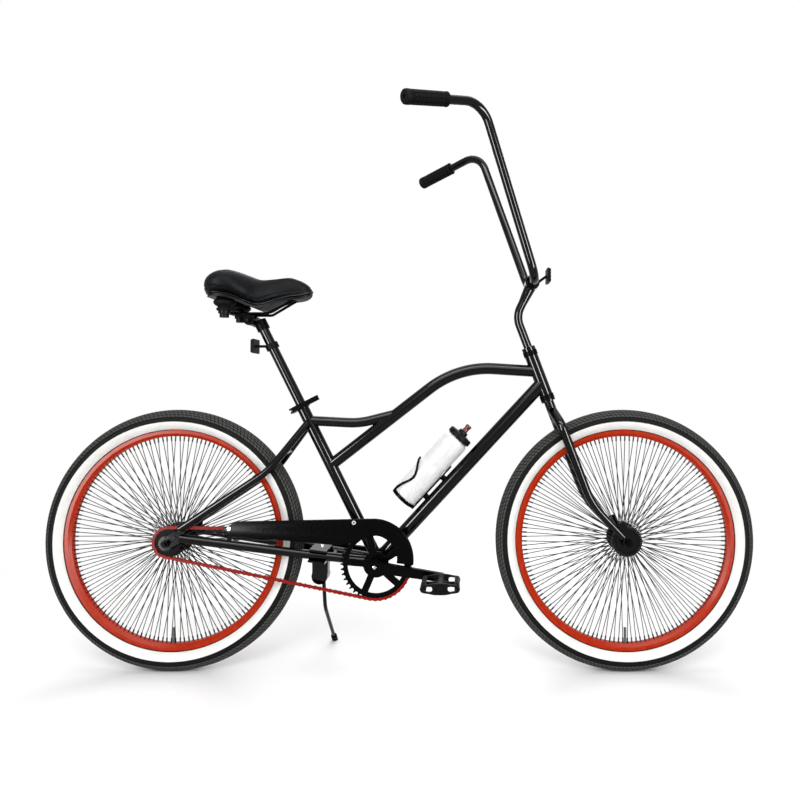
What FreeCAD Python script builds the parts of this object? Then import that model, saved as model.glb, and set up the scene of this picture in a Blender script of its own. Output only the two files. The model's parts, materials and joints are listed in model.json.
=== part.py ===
"""Beach cruiser bicycle: 26 inch wheels, coaster brake, chain guard and a tall handlebar.

Millimetres. The bicycle is built upright, X forward, Y to the rider's left, Z up, with the origin on
the ground midway between the axles. stand() then leans it onto its kickstand.
"""
import FreeCAD, Part
import math
import os

V = FreeCAD.Vector
ALONG_Y = V(0, 1, 0)

# Stance
LEAN_DEG = 3.0
WHEELBASE = 1140.0

# Clearances
FIT = 0.1
CLEAR = 0.3

# Wheels
TYRE_RADIUS = 327.0
TYRE_SECTION_RADIUS = 27.0
TYRE_WALL = 3.0
BEAD_HALF_WIDTH = 12.1
BEAD_THICKNESS = 2.8
BEAD_DEPTH = 5.4
WHITEWALL_INNER_RADIUS = 277.5
WHITEWALL_OUTER_RADIUS = 298.0
WHITEWALL_THICKNESS = 0.6
TUBE_WALL = 1.5
VALVE_RADIUS = 3.3
VALVE_LENGTH = 38.0
RIM_WALL = 1.8
RIM_DEPTH = 16.0
RIM_FLOOR = 3.0
SPOKES_PER_FLANGE = 72
SPOKE_RADIUS = 1.0
SPOKE_CROSS_DEG = 5.0
NIPPLE_RADIUS = 1.9
NIPPLE_LENGTH = 12.0
HUB_HOLE_RADIUS = 32.0
FLANGE_RADIUS = 38.0
FLANGE_THICKNESS = 4.0
HUB_END_RADIUS = 15.0
BEARING_WIDTH = 8.0
BEARING_RADIUS = 11.0
FRONT_HUB_RADIUS = 14.0
FRONT_FLANGE_OFFSET = 33.0
REAR_HUB_RADIUS = 22.0
REAR_FLANGE_OFFSET = 26.0
HUB_END_LENGTH = 6.0

# Axles
AXLE_RADIUS = 4.76
AXLE_END_RADIUS = 4.6
FRONT_DROPOUT_INNER = 50.0
REAR_DROPOUT_INNER = 55.0
DROPOUT_THICKNESS = 5.0
CONE_RADIUS = 8.5
NUT_RADIUS = 9.5
NUT_HEIGHT = 9.0
AXLE_STUB = 7.0

# Drive
CHAIN_PITCH = 12.7
CHAIN_LINKS = 112
RING_TEETH = 42
SPROCKET_TEETH = 18
CHAIN_LINE = 45.0
ROLLER_RADIUS = 3.875
PIN_RADIUS = 1.8
PLATE_END_RADIUS = 4.2
PLATE_THICKNESS = 1.1
CHAIN_INNER_WIDTH = 3.3
TOOTH_HEIGHT = 3.2
TOOTH_THICKNESS = 2.6
RING_BAND = 15.0
RING_ARMS = 5
RING_ARM_WIDTH = 17.0
RING_CENTRE_RADIUS = 32.0
RING_TURN_DEG = 41.0
BRACKET_DROP = 54.0
SHELL_HALF_WIDTH = 34.0
SHELL_RADIUS = 21.0
SHELL_WALL = 3.0
CUP_FLANGE = 4.0
SPINDLE_RADIUS = 8.5
CRANK_LENGTH = 165.0
CRANK_DROP_DEG = 8.8
CRANK_BOSS_RADIUS = 17.0
CRANK_BOSS_INNER = 42.0
CRANK_INNER = 63.0
CRANK_THICKNESS = 12.0
CRANK_HUB_WIDTH = 27.0
CRANK_TIP_WIDTH = 21.0
PEDAL_SPINDLE_RADIUS = 6.9
PEDAL_COLLAR_RADIUS = 9.5
PEDAL_COLLAR = 9.0
PEDAL_WIDTH = 92.0
PEDAL_LENGTH = 92.0
PEDAL_HEIGHT = 26.0
PEDAL_RAIL = 9.0
PEDAL_BARREL_RADIUS = 12.0
SPROCKET_HUB = 7.0
TOOTH_RELIEF = 2.4
PLATE_WAIST = 3.0

# Coaster brake
BRAKE_REACH = 140.0
BRAKE_WIDTH = 20.0
BRAKE_ARM_THICKNESS = 2.4
STRAP_WALL = 2.0
STRAP_WIDTH = 14.0
STRAP_BOLT_RADIUS = 4.0

# Chain guard
GUARD_OFFSET = 56.0
GUARD_THICKNESS = 1.5
GUARD_OUTER_RADIUS = 100.0
GUARD_BAND = 41.0
GUARD_BACK = 6.0
GUARD_RAISE = 14.0
GUARD_TAIL = 372.0
GUARD_TAIL_HEIGHT = 34.0
GUARD_TAIL_DROP = 7.0
GUARD_FRONT_DEG = -8.0
GUARD_KNEE_DEG = 45.0
GUARD_HEEL_REACH = 83.0
GUARD_TIP_RISE = 13.6
GUARD_TAB_HALF = 5.0
GUARD_TAB_THICKNESS = 3.6
GUARD_STUD_RADIUS = 4.9
GUARD_STUD_MARGIN = 9.2

# Frame tubes
TUBE_THICKNESS = 1.6
SEAT_ANGLE_DEG = 27.0
SEAT_TUBE_LENGTH = 444.5
SEAT_TUBE_RADIUS = 15.0
HEAD_ANGLE_DEG = 20.6
HEAD_TUBE_LENGTH = 107.0
HEAD_TUBE_RADIUS = 17.0
TOP_TUBE_RADIUS = 15.0
TOP_TUBE_SEAT_JOIN = 269.5
TOP_TUBE_RISE_DEG = 37.85
TOP_TUBE_BEND_RADIUS = 243.0
TOP_TUBE_HEAD_JOIN = 64.0
TOP_TUBE_NOSE_DEG = 3.65
DOWN_TUBE_RADIUS = 17.5
DOWN_TUBE_HEAD_JOIN = 31.0
BRACE_RADIUS = 12.7
BRACE_SEAT_DROP = 48.0
BRACE_REACH = 130.0
BRACE_DROP_DEG = 3.0
BRACE_TOP_JOIN = 213.0
BRACE_BEND_RADIUS = 200.0
CHAINSTAY_RADIUS = 11.0
CHAINSTAY_ROOT_HALF = 20.0
CHAINSTAY_BEND_REACH = 181.0
CHAINSTAY_BEND_HALF = 40.5
CHAINSTAY_BEND_RADIUS = 160.0
STAY_END_REACH = 35.0
CHAINSTAY_END_RISE = 12.0
SEATSTAY_RADIUS = 9.0
SEATSTAY_SEAT_DROP = 52.0
SEATSTAY_TOP_HALF = 17.0
SEATSTAY_BEND_REACH = 246.0
SEATSTAY_BEND_RISE = 176.0
SEATSTAY_BEND_HALF = 45.0
SEATSTAY_BEND_RADIUS = 160.0
SEATSTAY_END_RISE = 36.0
SEATSTAY_END_SIDE = 6.5
DROPOUT_RADIUS = 18.0
BRIDGE_RADIUS = 7.0
BRIDGE_SHARE = 0.62

# Headset and fork
CROWN_TYRE_GAP = 22.4
RAKE = 54.6
STEERER_RADIUS = 12.7
CUP_RADIUS = 18.5
CUP_HEIGHT = 13.0
RACE_HEIGHT = 5.0
RACE_GAP = 1.6
LOCKNUT_RADIUS = 17.5
LOCKNUT_HEIGHT = 10.0
BLADE_RADIUS = 12.5
BLADE_TIP_RADIUS = 9.0
BLADE_HALF_SPACING = 48.0
BLADE_FORWARD = 4.0
BLADE_BEND_RISE = 118.0
BLADE_BEND_RADIUS = 200.0
CROWN_BEND_DROP = 62.0
CROWN_BEND_RADIUS = 34.0
CROWN_DROP = 24.0
FORK_EYE_RADIUS = 14.4
FORK_TANG_LENGTH = 54.0

# Stem and handlebar
QUILL_RADIUS = 11.1
QUILL_WALL = 2.5
QUILL_INSERT = 83.0
STEM_BEND_RISE = 86.0
STEM_BEND_RADIUS = 60.0
STEM_REACH = 68.0
STEM_RISE = 65.0
STEM_FLARE_LENGTH = 56.0
STEM_FLARE_RADIUS = 16.0
BAR_RADIUS = 11.1
BAR_WALL = 1.8
BAR_BASE_HALF = 97.0
BAR_TOP_HALF = 178.0
BAR_RISE = 406.0
BAR_LEAN_BACK = 132.0
BAR_END_HALF = 311.0
BAR_SWEEP = 170.5
BAR_DROP = 45.6
BAR_BASE_BEND = 45.0
BAR_TOP_BEND = 60.0
CLAMP_RADIUS = 18.0
CLAMP_HALF_WIDTH = 24.0
STEM_BOLT_SPACING = 28.8
STEM_BOLT_RADIUS = 1.25
STEM_BOLT_HEAD_RADIUS = 2.5
STEM_BOLT_GRIP = 5.0
GRIP_LENGTH = 118.0
GRIP_RADIUS = 17.0
GRIP_FLANGE_RADIUS = 18.5
GRIP_LIP_RADIUS = 17.8
GRIP_FLANGE = 5.0
GRIP_CAP = 4.0
REFLECTOR_WIDTH = 50.0
REFLECTOR_HEIGHT = 36.0
REFLECTOR_DEPTH = 9.0
LENS_DEPTH = 3.0
LENS_MARGIN = 1.6
FRONT_ARM_REACH = 44.0
FRONT_ARM_RISE = 20.0
FRONT_ARM_ROOT_REACH = 16.0
FRONT_ARM_ROOT_RISE = 3.6
REFLECTOR_ARM_RADIUS = 3.5

# Seat
POST_RADIUS = 12.7
POST_WALL = 1.8
POST_ABOVE = 248.0
POST_INSERT = 120.0
COLLAR_HEIGHT = 14.0
COLLAR_THICKNESS = 4.0
SKEWER_BACK = 24.0
SKEWER_RADIUS = 2.5
SKEWER_HALF = 15.0
SKEWER_NUT_END = 17.0
EAR_GAP = 3.0
EAR_THICKNESS = 6.0
LEVER_LENGTH = 76.0
LEVER_WIDTH = 13.0
LEVER_THICKNESS = 6.0
CLAMP_BOLT_BACK = 16.0
SADDLE_CLAMP_RADIUS = 13.0
SADDLE_CLAMP_HALF = 30.0
SADDLE_SLEEVE_WALL = 3.5
SADDLE_SLEEVE_HEIGHT = 26.0
RAIL_RADIUS = 3.5
RAIL_HALF_SPACING = 24.0
RAIL_FRONT_HALF_SPACING = 12.0
RAIL_FRONT_REACH = 112.0
RAIL_FRONT_RISE = 37.5
RAIL_KNEE_REACH = 44.0
RAIL_BACK_REACH = 52.0
RAIL_BEND_RADIUS = 18.0
SHOCK_RADIUS = 27.0
SHOCK_FOOT_RADIUS = 16.2
SHOCK_TOP_RADIUS = 19.4
SHOCK_SWELL_SHARE = 0.55
SHOCK_HALF_SPACING = 62.0
SHOCK_NUT_RADIUS = 15.0
SHOCK_NUT_HEIGHT = 16.0
SHOCK_NUT_FLANGE = 6.0
SHOCK_NUT_STEP_RADIUS = 11.5
CARRIER_THICKNESS = 5.0
CARRIER_WIDTH = 30.0
SADDLE_PAN = 6.0
PAN_SHARE = 0.82
SADDLE_FLOOR_SHARE = 0.86
SADDLE_SHOULDER_SHARE = 0.80
SADDLE_SIDE_SHARE = 0.42
SADDLE_EDGE_SHARE = 0.80
PAN_GAP = 0.8
REAR_REFLECTOR_DROP = 82.0
REAR_REFLECTOR_BACK = 46.0
REAR_CLAMP_HEIGHT = 14.0
REAR_CLAMP_WALL = 4.0

# Kickstand
STAND_BEHIND = 145.0
STAND_PIVOT_DROP = 36.0
STAND_PLATE_LENGTH = 42.0
STAND_PLATE_THICKNESS = 5.0
STAND_BLOCK_HALF = 20.0
STAND_PLATE_HALF = 52.5
STAND_BLOCK_FILLET = 7.3
STAND_PIN_RADIUS = 5.0
STAND_HUB_RADIUS = 13.0
STAND_HUB_LENGTH = 15.0
STAND_LEG_RADIUS = 4.8
STAND_KNEE_HALF = 52.0
STAND_KNEE_DROP = 97.0
STAND_FOOT_HALF = 185.0
STAND_FOOT_FORWARD = 2.0
STAND_BEND_RADIUS = 60.0
FOOT_RADIUS = 8.0
FOOT_LENGTH = 18.0
FOOT_SOLE = 5.0

# Bottle and cage
BOTTLE_RADIUS = 34.0
BOTTLE_WALL = 1.6
BOTTLE_START = 162.0
BOTTLE_LENGTH = 201.0
SHOULDER_LENGTH = 9.0
BASE_CHAMFER = 5.0
NECK_RADIUS = 28.0
CAP_RADIUS = 30.0
CAP_RIM = 13.0
CAP_STEP_RADIUS = 22.0
CAP_HEIGHT = 24.0
CAP_CHAMFER = 3.2
SPOUT_RADIUS = 8.0
SPOUT_HEIGHT = 20.0
SPOUT_STEM_RADIUS = 5.0
SPOUT_STEM_DEPTH = 12.0
BOTTLE_GAP = 10.5
CAGE_STRIP_WIDTH = 18.0
CAGE_STRIP_THICKNESS = 3.5
CAGE_STRIP_LENGTH = 145.0
CAGE_BOSS_RADIUS = 7.5
CAGE_TRAY_RADIUS = 32.0
CAGE_TRAY_DEPTH = 8.0
CAGE_TRAY_WALL = 2.5
CAGE_WIRE_RADIUS = 2.8
CAGE_WIRE_GAP = 0.8
CAGE_WIRE_BEND = 5.0
CAGE_WIRE_EASE = 9.0
CAGE_FLARE = 5.0
CAGE_BOLT_FIRST = 38.0
CAGE_BOLT_SPACING = 64.0

# Fasteners
BOLT_RADIUS = 2.5
BOLT_HEAD_RADIUS = 5.0
BOLT_HEAD_HEIGHT = 2.6


# Basic shapes
def cylinder(start, end, radius):
    return Part.makeCylinder(radius, (end - start).Length, start, end - start)


def tube(start, end, outer, inner):
    return cylinder(start, end, outer).cut(cylinder(start, end, inner))


def unit(vector):
    return V(vector) * (1.0 / vector.Length)


def box_between(low, high):
    size = high - low
    return Part.makeBox(size.x, size.y, size.z, low)


def mirrored(shape):
    return shape.mirror(V(0, 0, 0), ALONG_Y)


def both_sides(shape):
    return Part.makeCompound([shape, mirrored(shape)])


def group(*shapes):
    solids = []
    for shape in shapes:
        solids.extend(shape.Solids)
    return Part.makeCompound(solids)


def joined(*shapes):
    return shapes[0].multiFuse(list(shapes[1:])).removeSplitter()


def main_solid(shape):
    return max(shape.Solids, key=lambda solid: solid.Volume)


def coped(shape, *neighbours):
    """Cuts a tube's end to the neighbours that it is welded to."""
    for neighbour in neighbours:
        shape = main_solid(shape.cut(neighbour))
    return shape


def plate(points, offset, thickness):
    """A flat plate from (x, z) points, lying from y = offset to y = offset + thickness."""
    corners = [V(x, offset, z) for x, z in points]
    outline = Part.makePolygon(corners + corners[:1])
    return Part.Face(outline).extrude(V(0, thickness, 0))


def bent_path(points, radii):
    """Straight runs joined by tangent arcs, one radius for each inner point."""
    edges = []
    start = points[0]
    for before, corner, after, radius in zip(points, points[1:], points[2:], radii):
        into = unit(corner - before)
        out = unit(after - corner)
        half_turn = into.getAngle(out) / 2.0
        reach = radius * math.tan(half_turn)
        first = corner - into * reach
        last = corner + out * reach
        inward = unit(out - into)
        middle = corner + inward * (radius / math.cos(half_turn) - radius)
        edges.append(Part.LineSegment(start, first).toShape())
        edges.append(Part.Arc(first, middle, last).toShape())
        start = last
    edges.append(Part.LineSegment(start, points[-1]).toShape())
    return Part.Wire(edges)


def circle_wire(centre, direction, radius):
    return Part.Wire([Part.makeCircle(radius, centre, direction)])


def bent_rod(points, radii, radius):
    path = bent_path(points, radii)
    profile = circle_wire(points[0], points[1] - points[0], radius)
    return path.makePipeShell([profile], True, False)


def tapered_rod(points, radii, first_radius, last_radius):
    path = bent_path(points, radii)
    sweep = Part.BRepOffsetAPI.MakePipeShell(path)
    sweep.add(circle_wire(points[0], points[1] - points[0], first_radius))
    sweep.add(circle_wire(points[-1], points[-1] - points[-2], last_radius))
    sweep.build()
    sweep.makeSolid()
    return sweep.shape()


def bent_tube(points, radii, radius, wall):
    return bent_rod(points, radii, radius).cut(bent_rod(points, radii, radius - wall))


def spun(edges, centre):
    """Revolves a closed outline drawn in the (radius, width) plane about the Y axis through centre."""
    face = Part.Face(Part.Wire(edges))
    solid = face.revolve(V(0, 0, 0), ALONG_Y, 360)
    solid.translate(centre)
    return solid


def outline(points):
    """Closed straight outline from (radius, width) pairs."""
    corners = [V(radius, width, 0) for radius, width in points]
    pairs = zip(corners, corners[1:] + corners[:1])
    return [Part.LineSegment(a, b).toShape() for a, b in pairs]


def turned(shape, centre, degrees):
    copy = shape.copy()
    copy.rotate(centre, ALONG_Y, degrees)
    return copy


# Places worked out from the driving sizes
SEAT_ANGLE = math.radians(SEAT_ANGLE_DEG)
HEAD_ANGLE = math.radians(HEAD_ANGLE_DEG)
SEAT_UP = V(-math.sin(SEAT_ANGLE), 0, math.cos(SEAT_ANGLE))
SEAT_FORWARD = V(math.cos(SEAT_ANGLE), 0, math.sin(SEAT_ANGLE))
HEAD_UP = V(-math.sin(HEAD_ANGLE), 0, math.cos(HEAD_ANGLE))
HEAD_FORWARD = V(math.cos(HEAD_ANGLE), 0, math.sin(HEAD_ANGLE))
REAR_HUB = V(-WHEELBASE / 2, 0, TYRE_RADIUS)
FRONT_HUB = V(WHEELBASE / 2, 0, TYRE_RADIUS)
RING_PITCH_RADIUS = RING_TEETH * CHAIN_PITCH / (2 * math.pi)
SPROCKET_PITCH_RADIUS = SPROCKET_TEETH * CHAIN_PITCH / (2 * math.pi)
TYRE_CENTRE_RADIUS = TYRE_RADIUS - TYRE_SECTION_RADIUS
RIM_FLANGE_HALF = BEAD_HALF_WIDTH + CLEAR
RIM_HALF_WIDTH = RIM_FLANGE_HALF + RIM_WALL


def section_drop(radius, width):
    return math.sqrt(radius ** 2 - width ** 2)


BEAD_TOP = TYRE_CENTRE_RADIUS - section_drop(TYRE_SECTION_RADIUS, BEAD_HALF_WIDTH)
BEAD_BOTTOM = BEAD_TOP - BEAD_DEPTH
RIM_OUTER_RADIUS = TYRE_CENTRE_RADIUS - section_drop(TYRE_SECTION_RADIUS, RIM_FLANGE_HALF) - CLEAR
RIM_INNER_RADIUS = RIM_OUTER_RADIUS - RIM_DEPTH


CROWN_CENTRE = section_drop(TYRE_RADIUS + CROWN_TYRE_GAP, RAKE)
FORK_LENGTH = CROWN_CENTRE + 2 * CROWN_DROP + RACE_HEIGHT + CUP_HEIGHT


def chain_length(centre_distance):
    lean = math.acos((RING_PITCH_RADIUS - SPROCKET_PITCH_RADIUS) / centre_distance)
    straight = 2 * centre_distance * math.sin(lean)
    return straight + 2 * lean * SPROCKET_PITCH_RADIUS + 2 * (math.pi - lean) * RING_PITCH_RADIUS


def chainstay_length():
    """Distance between crank and rear axle at which the chain has its whole number of links."""
    low = RING_PITCH_RADIUS + SPROCKET_PITCH_RADIUS
    high = CHAIN_LINKS * CHAIN_PITCH
    while high - low > 1e-9:
        middle = (low + high) / 2
        if chain_length(middle) < CHAIN_LINKS * CHAIN_PITCH:
            low = middle
        else:
            high = middle
    return low


CHAINSTAY = chainstay_length()
BRACKET = REAR_HUB + V(math.sqrt(CHAINSTAY ** 2 - BRACKET_DROP ** 2), 0, -BRACKET_DROP)
STEER_BASE = FRONT_HUB - HEAD_FORWARD * RAKE


def on_head(rise, forward=0.0):
    return STEER_BASE + HEAD_UP * rise + HEAD_FORWARD * forward


def on_seat(rise, forward=0.0, side=0.0):
    return BRACKET + SEAT_UP * rise + SEAT_FORWARD * forward + ALONG_Y * side


HEAD_LOW = on_head(FORK_LENGTH)
HEAD_HIGH = on_head(FORK_LENGTH + HEAD_TUBE_LENGTH)
LOCKNUT_TOP = FORK_LENGTH + HEAD_TUBE_LENGTH + CUP_HEIGHT + LOCKNUT_HEIGHT
DOWN_TUBE_TOP = on_head(FORK_LENGTH + DOWN_TUBE_HEAD_JOIN)
DOWN_ALONG = unit(DOWN_TUBE_TOP - BRACKET)
DOWN_ACROSS = V(-DOWN_ALONG.z, 0, DOWN_ALONG.x)


def on_down(along, across, side=0.0):
    return BRACKET + DOWN_ALONG * along + DOWN_ACROSS * across + ALONG_Y * side


TOP_SEAT_END = on_seat(TOP_TUBE_SEAT_JOIN)
TOP_HEAD_END = on_head(FORK_LENGTH + TOP_TUBE_HEAD_JOIN)


def top_tube_corner():
    """Where the rising run and the nearly level run of the top tube would meet."""
    rise = math.tan(math.radians(TOP_TUBE_RISE_DEG))
    nose = -math.tan(math.radians(TOP_TUBE_NOSE_DEG))
    height = TOP_HEAD_END.z - TOP_SEAT_END.z
    span = TOP_HEAD_END.x - TOP_SEAT_END.x
    run = (height - nose * span) / (rise - nose)
    return TOP_SEAT_END + V(run, 0, run * rise)


TOP_CORNER = top_tube_corner()
TOP_TUBE_POINTS = [TOP_SEAT_END, TOP_CORNER, TOP_HEAD_END]
TOP_TUBE_RADII = [TOP_TUBE_BEND_RADIUS]
CHAINSTAY_END = REAR_HUB + V(STAY_END_REACH, REAR_DROPOUT_INNER + DROPOUT_THICKNESS / 2, CHAINSTAY_END_RISE)
SEATSTAY_END = REAR_HUB + V(STAY_END_REACH, REAR_DROPOUT_INNER + SEATSTAY_END_SIDE, SEATSTAY_END_RISE)
CHAINSTAY_ROOT = BRACKET + V(0, CHAINSTAY_ROOT_HALF, 0)
STAY_SLOPE = (CHAINSTAY_END.z - BRACKET.z) / (CHAINSTAY_END.x - BRACKET.x)
CHAINSTAY_BEND = BRACKET + V(-CHAINSTAY_BEND_REACH, CHAINSTAY_BEND_HALF, -CHAINSTAY_BEND_REACH * STAY_SLOPE)
STEM_CORNER = on_head(LOCKNUT_TOP + STEM_BEND_RISE)
BAR_CENTRE = on_head(LOCKNUT_TOP + STEM_BEND_RISE + STEM_RISE, STEM_REACH)
CRANK_DROP = math.radians(CRANK_DROP_DEG)
CRANK_ALONG = V(math.cos(CRANK_DROP), 0, -math.sin(CRANK_DROP))
POST_TOP = SEAT_TUBE_LENGTH + POST_ABOVE
SADDLE_PIVOT = on_seat(POST_TOP, -CLAMP_BOLT_BACK)
RAIL_LIFT = SADDLE_CLAMP_RADIUS + RAIL_RADIUS + CLEAR
STAND_PIVOT = BRACKET + V(-STAND_BEHIND, STAND_BLOCK_HALF + CLEAR, -STAND_PIVOT_DROP)
LEAN = math.radians(LEAN_DEG)
GRIP_DIRECTION = unit(V(-BAR_SWEEP, BAR_END_HALF - BAR_TOP_HALF, -BAR_DROP))
BAR_END = BAR_CENTRE + V(-BAR_LEAN_BACK - BAR_SWEEP, BAR_END_HALF, BAR_RISE - BAR_DROP)
BOTTLE_OFFSET = DOWN_TUBE_RADIUS + BOTTLE_GAP + BOTTLE_RADIUS


def stand():
    """The placement that leans the upright bicycle onto its stand and centres it over the origin."""
    lift = TYRE_SECTION_RADIUS * (1 - math.cos(LEAN))
    side = -BAR_END.z * math.sin(LEAN)
    return FreeCAD.Placement(V(0, side, lift), FreeCAD.Rotation(V(1, 0, 0), -LEAN_DEG))


# Wheels
def tyre(hub):
    outer = TYRE_SECTION_RADIUS
    inner = outer - TYRE_WALL
    centre = TYRE_CENTRE_RADIUS
    bead_inner = BEAD_HALF_WIDTH - BEAD_THICKNESS
    inner_top = centre - section_drop(inner, bead_inner)
    crown = Part.Arc(V(BEAD_TOP, BEAD_HALF_WIDTH, 0), V(centre + outer, 0, 0),
                     V(BEAD_TOP, -BEAD_HALF_WIDTH, 0))
    lining = Part.Arc(V(inner_top, -bead_inner, 0), V(centre + inner, 0, 0),
                      V(inner_top, bead_inner, 0))
    right = [(BEAD_TOP, -BEAD_HALF_WIDTH), (BEAD_BOTTOM, -BEAD_HALF_WIDTH), (BEAD_BOTTOM, -bead_inner),
             (inner_top, -bead_inner)]
    left = [(inner_top, bead_inner), (BEAD_BOTTOM, bead_inner), (BEAD_BOTTOM, BEAD_HALF_WIDTH),
            (BEAD_TOP, BEAD_HALF_WIDTH)]
    edges = [crown.toShape()]
    for side, closing in ((right, lining), (left, None)):
        corners = [V(radius, width, 0) for radius, width in side]
        edges.extend(Part.LineSegment(a, b).toShape() for a, b in zip(corners, corners[1:]))
        if closing:
            edges.append(closing.toShape())
    return spun(edges, hub)


def whitewalls(hub):
    def point(radius, section):
        return V(radius, section_drop(section, radius - TYRE_CENTRE_RADIUS), 0)

    low = TYRE_SECTION_RADIUS + FIT
    high = low + WHITEWALL_THICKNESS
    middle = (WHITEWALL_INNER_RADIUS + WHITEWALL_OUTER_RADIUS) / 2
    start, end = WHITEWALL_INNER_RADIUS, WHITEWALL_OUTER_RADIUS
    edges = [
        Part.Arc(point(start, low), point(middle, low), point(end, low)).toShape(),
        Part.LineSegment(point(end, low), point(end, high)).toShape(),
        Part.Arc(point(end, high), point(middle, high), point(start, high)).toShape(),
        Part.LineSegment(point(start, high), point(start, low)).toShape(),
    ]
    left = spun(edges, V(0, 0, 0))
    bands = both_sides(left)
    bands.translate(hub)
    return bands


def inner_tube(hub):
    outer = TYRE_SECTION_RADIUS - TYRE_WALL - CLEAR
    air = outer - TUBE_WALL
    ring = Part.makeTorus(TYRE_CENTRE_RADIUS, outer, hub, ALONG_Y)
    bottom = hub - V(0, 0, RIM_INNER_RADIUS - VALVE_LENGTH)
    root = hub - V(0, 0, TYRE_CENTRE_RADIUS - outer + TUBE_WALL / 2)
    stem = cylinder(bottom, root, VALVE_RADIUS)
    hollow = Part.makeTorus(TYRE_CENTRE_RADIUS, air, hub, ALONG_Y)
    return joined(ring, stem).cut(hollow)


def rim(hub):
    floor = BEAD_BOTTOM - CLEAR
    well = floor - RIM_FLOOR
    half = RIM_HALF_WIDTH
    waist = half - RIM_FLOOR
    points = [(RIM_OUTER_RADIUS, half), (well, half), (RIM_INNER_RADIUS, waist - RIM_FLOOR),
              (RIM_INNER_RADIUS, RIM_FLOOR - waist), (well, -half), (RIM_OUTER_RADIUS, -half),
              (RIM_OUTER_RADIUS, -RIM_FLANGE_HALF), (floor, -RIM_FLANGE_HALF), (floor, RIM_FLANGE_HALF),
              (RIM_OUTER_RADIUS, RIM_FLANGE_HALF)]
    inside = [(well, half - RIM_WALL - RIM_WALL), (RIM_INNER_RADIUS + RIM_WALL, waist - RIM_FLOOR),
              (RIM_INNER_RADIUS + RIM_WALL, RIM_FLOOR - waist), (well, RIM_WALL + RIM_WALL - half)]
    body = spun(outline(points), hub).cut(spun(outline(inside), hub))
    hole = cylinder(hub, hub - V(0, 0, RIM_OUTER_RADIUS), VALVE_RADIUS + CLEAR)
    return body.cut(hole)


def spoke(flange_offset, outside, cross_deg):
    """One spoke with its nipple, from the flange at y = flange_offset to the rim."""
    slope = flange_offset / (RIM_INNER_RADIUS - HUB_HOLE_RADIUS)
    lean_in = slope * (FLANGE_RADIUS - HUB_HOLE_RADIUS) if outside else 0.0
    shift = FLANGE_THICKNESS / 2 + SPOKE_RADIUS + CLEAR + lean_in
    start = V(0, flange_offset + (shift if outside else -shift), HUB_HOLE_RADIUS)
    turn = math.radians(cross_deg)
    reach = RIM_INNER_RADIUS - FIT - NIPPLE_RADIUS * slope
    end = V(reach * math.sin(turn), 0, reach * math.cos(turn))
    along = unit(end - start)
    shaft = cylinder(start, end, SPOKE_RADIUS)
    nipple = cylinder(end - along * NIPPLE_LENGTH, end, NIPPLE_RADIUS)
    return joined(shaft, nipple)


def spokes(hub, flange_offset):
    pairs = SPOKES_PER_FLANGE // 2
    step = 360.0 / pairs
    solids = []
    for side in (0, 1):
        for cross in (0, 1):
            one = spoke(flange_offset, cross == 0, SPOKE_CROSS_DEG if cross == 0 else -SPOKE_CROSS_DEG)
            if side:
                one = mirrored(one)
            first = step / 2 * cross + step / 4 * (side + 0.5)
            solids.extend(turned(one, V(0, 0, 0), first + step * count) for count in range(pairs))
    laced = Part.makeCompound(solids)
    laced.translate(hub)
    return laced


def hub_shell(hub, radius, flange_offset):
    end = flange_offset + FLANGE_THICKNESS / 2 + HUB_END_LENGTH
    flange_out = flange_offset + FLANGE_THICKNESS / 2
    flange_in = flange_offset - FLANGE_THICKNESS / 2
    half = [(radius, 0), (radius, flange_in), (FLANGE_RADIUS, flange_in), (FLANGE_RADIUS, flange_out),
            (HUB_END_RADIUS, flange_out), (HUB_END_RADIUS, end), (BEARING_RADIUS + FIT, end),
            (BEARING_RADIUS + FIT, end - BEARING_WIDTH - FIT),
            (AXLE_RADIUS + CLEAR, end - BEARING_WIDTH - FIT),
            (AXLE_RADIUS + CLEAR, 0)]
    left = spun(outline(half), V(0, 0, 0))
    shell = joined(left, mirrored(left))
    shell.translate(hub)
    return shell


def hub_bearings(hub, flange_offset):
    end = flange_offset + FLANGE_THICKNESS / 2 + HUB_END_LENGTH
    left = tube(V(0, end - BEARING_WIDTH, 0), V(0, end, 0), BEARING_RADIUS, AXLE_RADIUS + FIT)
    pair = both_sides(left)
    pair.translate(hub)
    return pair


def axle_nut(start, direction):
    """A hexagon nut on the axle, its inner face at start."""
    corners = []
    for count in range(6):
        angle = math.radians(60 * count)
        corners.append(start + V(NUT_RADIUS * math.cos(angle), 0, NUT_RADIUS * math.sin(angle)))
    prism = Part.Face(Part.makePolygon(corners + corners[:1])).extrude(direction * NUT_HEIGHT)
    return prism.cut(cylinder(start, start + direction * NUT_HEIGHT, AXLE_RADIUS + FIT))


def nut_face(dropout_inner):
    """How far from the middle the outer faces of an axle's nuts are."""
    return dropout_inner + DROPOUT_THICKNESS + FIT + NUT_HEIGHT


def axle_set(hub, dropout_inner, spacers):
    """Axle, its cones and its outer nuts. Spacers are (start, end) widths of the cones on +Y then -Y."""
    half = nut_face(dropout_inner)
    end = half + AXLE_STUB
    thread = cylinder(hub - ALONG_Y * half, hub + ALONG_Y * half, AXLE_RADIUS)
    pieces = [joined(thread, cylinder(hub - ALONG_Y * end, hub + ALONG_Y * end, AXLE_END_RADIUS))]
    for sign, (start, end) in zip((1, -1), spacers):
        side = ALONG_Y * sign
        pieces.append(tube(hub + side * start, hub + side * end, CONE_RADIUS, AXLE_RADIUS + FIT))
        pieces.append(axle_nut(hub + side * (dropout_inner + DROPOUT_THICKNESS + FIT), side))
    return group(*pieces)


# Frame
def seat_tube_solid():
    return cylinder(BRACKET, on_seat(SEAT_TUBE_LENGTH), SEAT_TUBE_RADIUS)


def head_tube_solid():
    return cylinder(HEAD_LOW, HEAD_HIGH, HEAD_TUBE_RADIUS)


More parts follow.
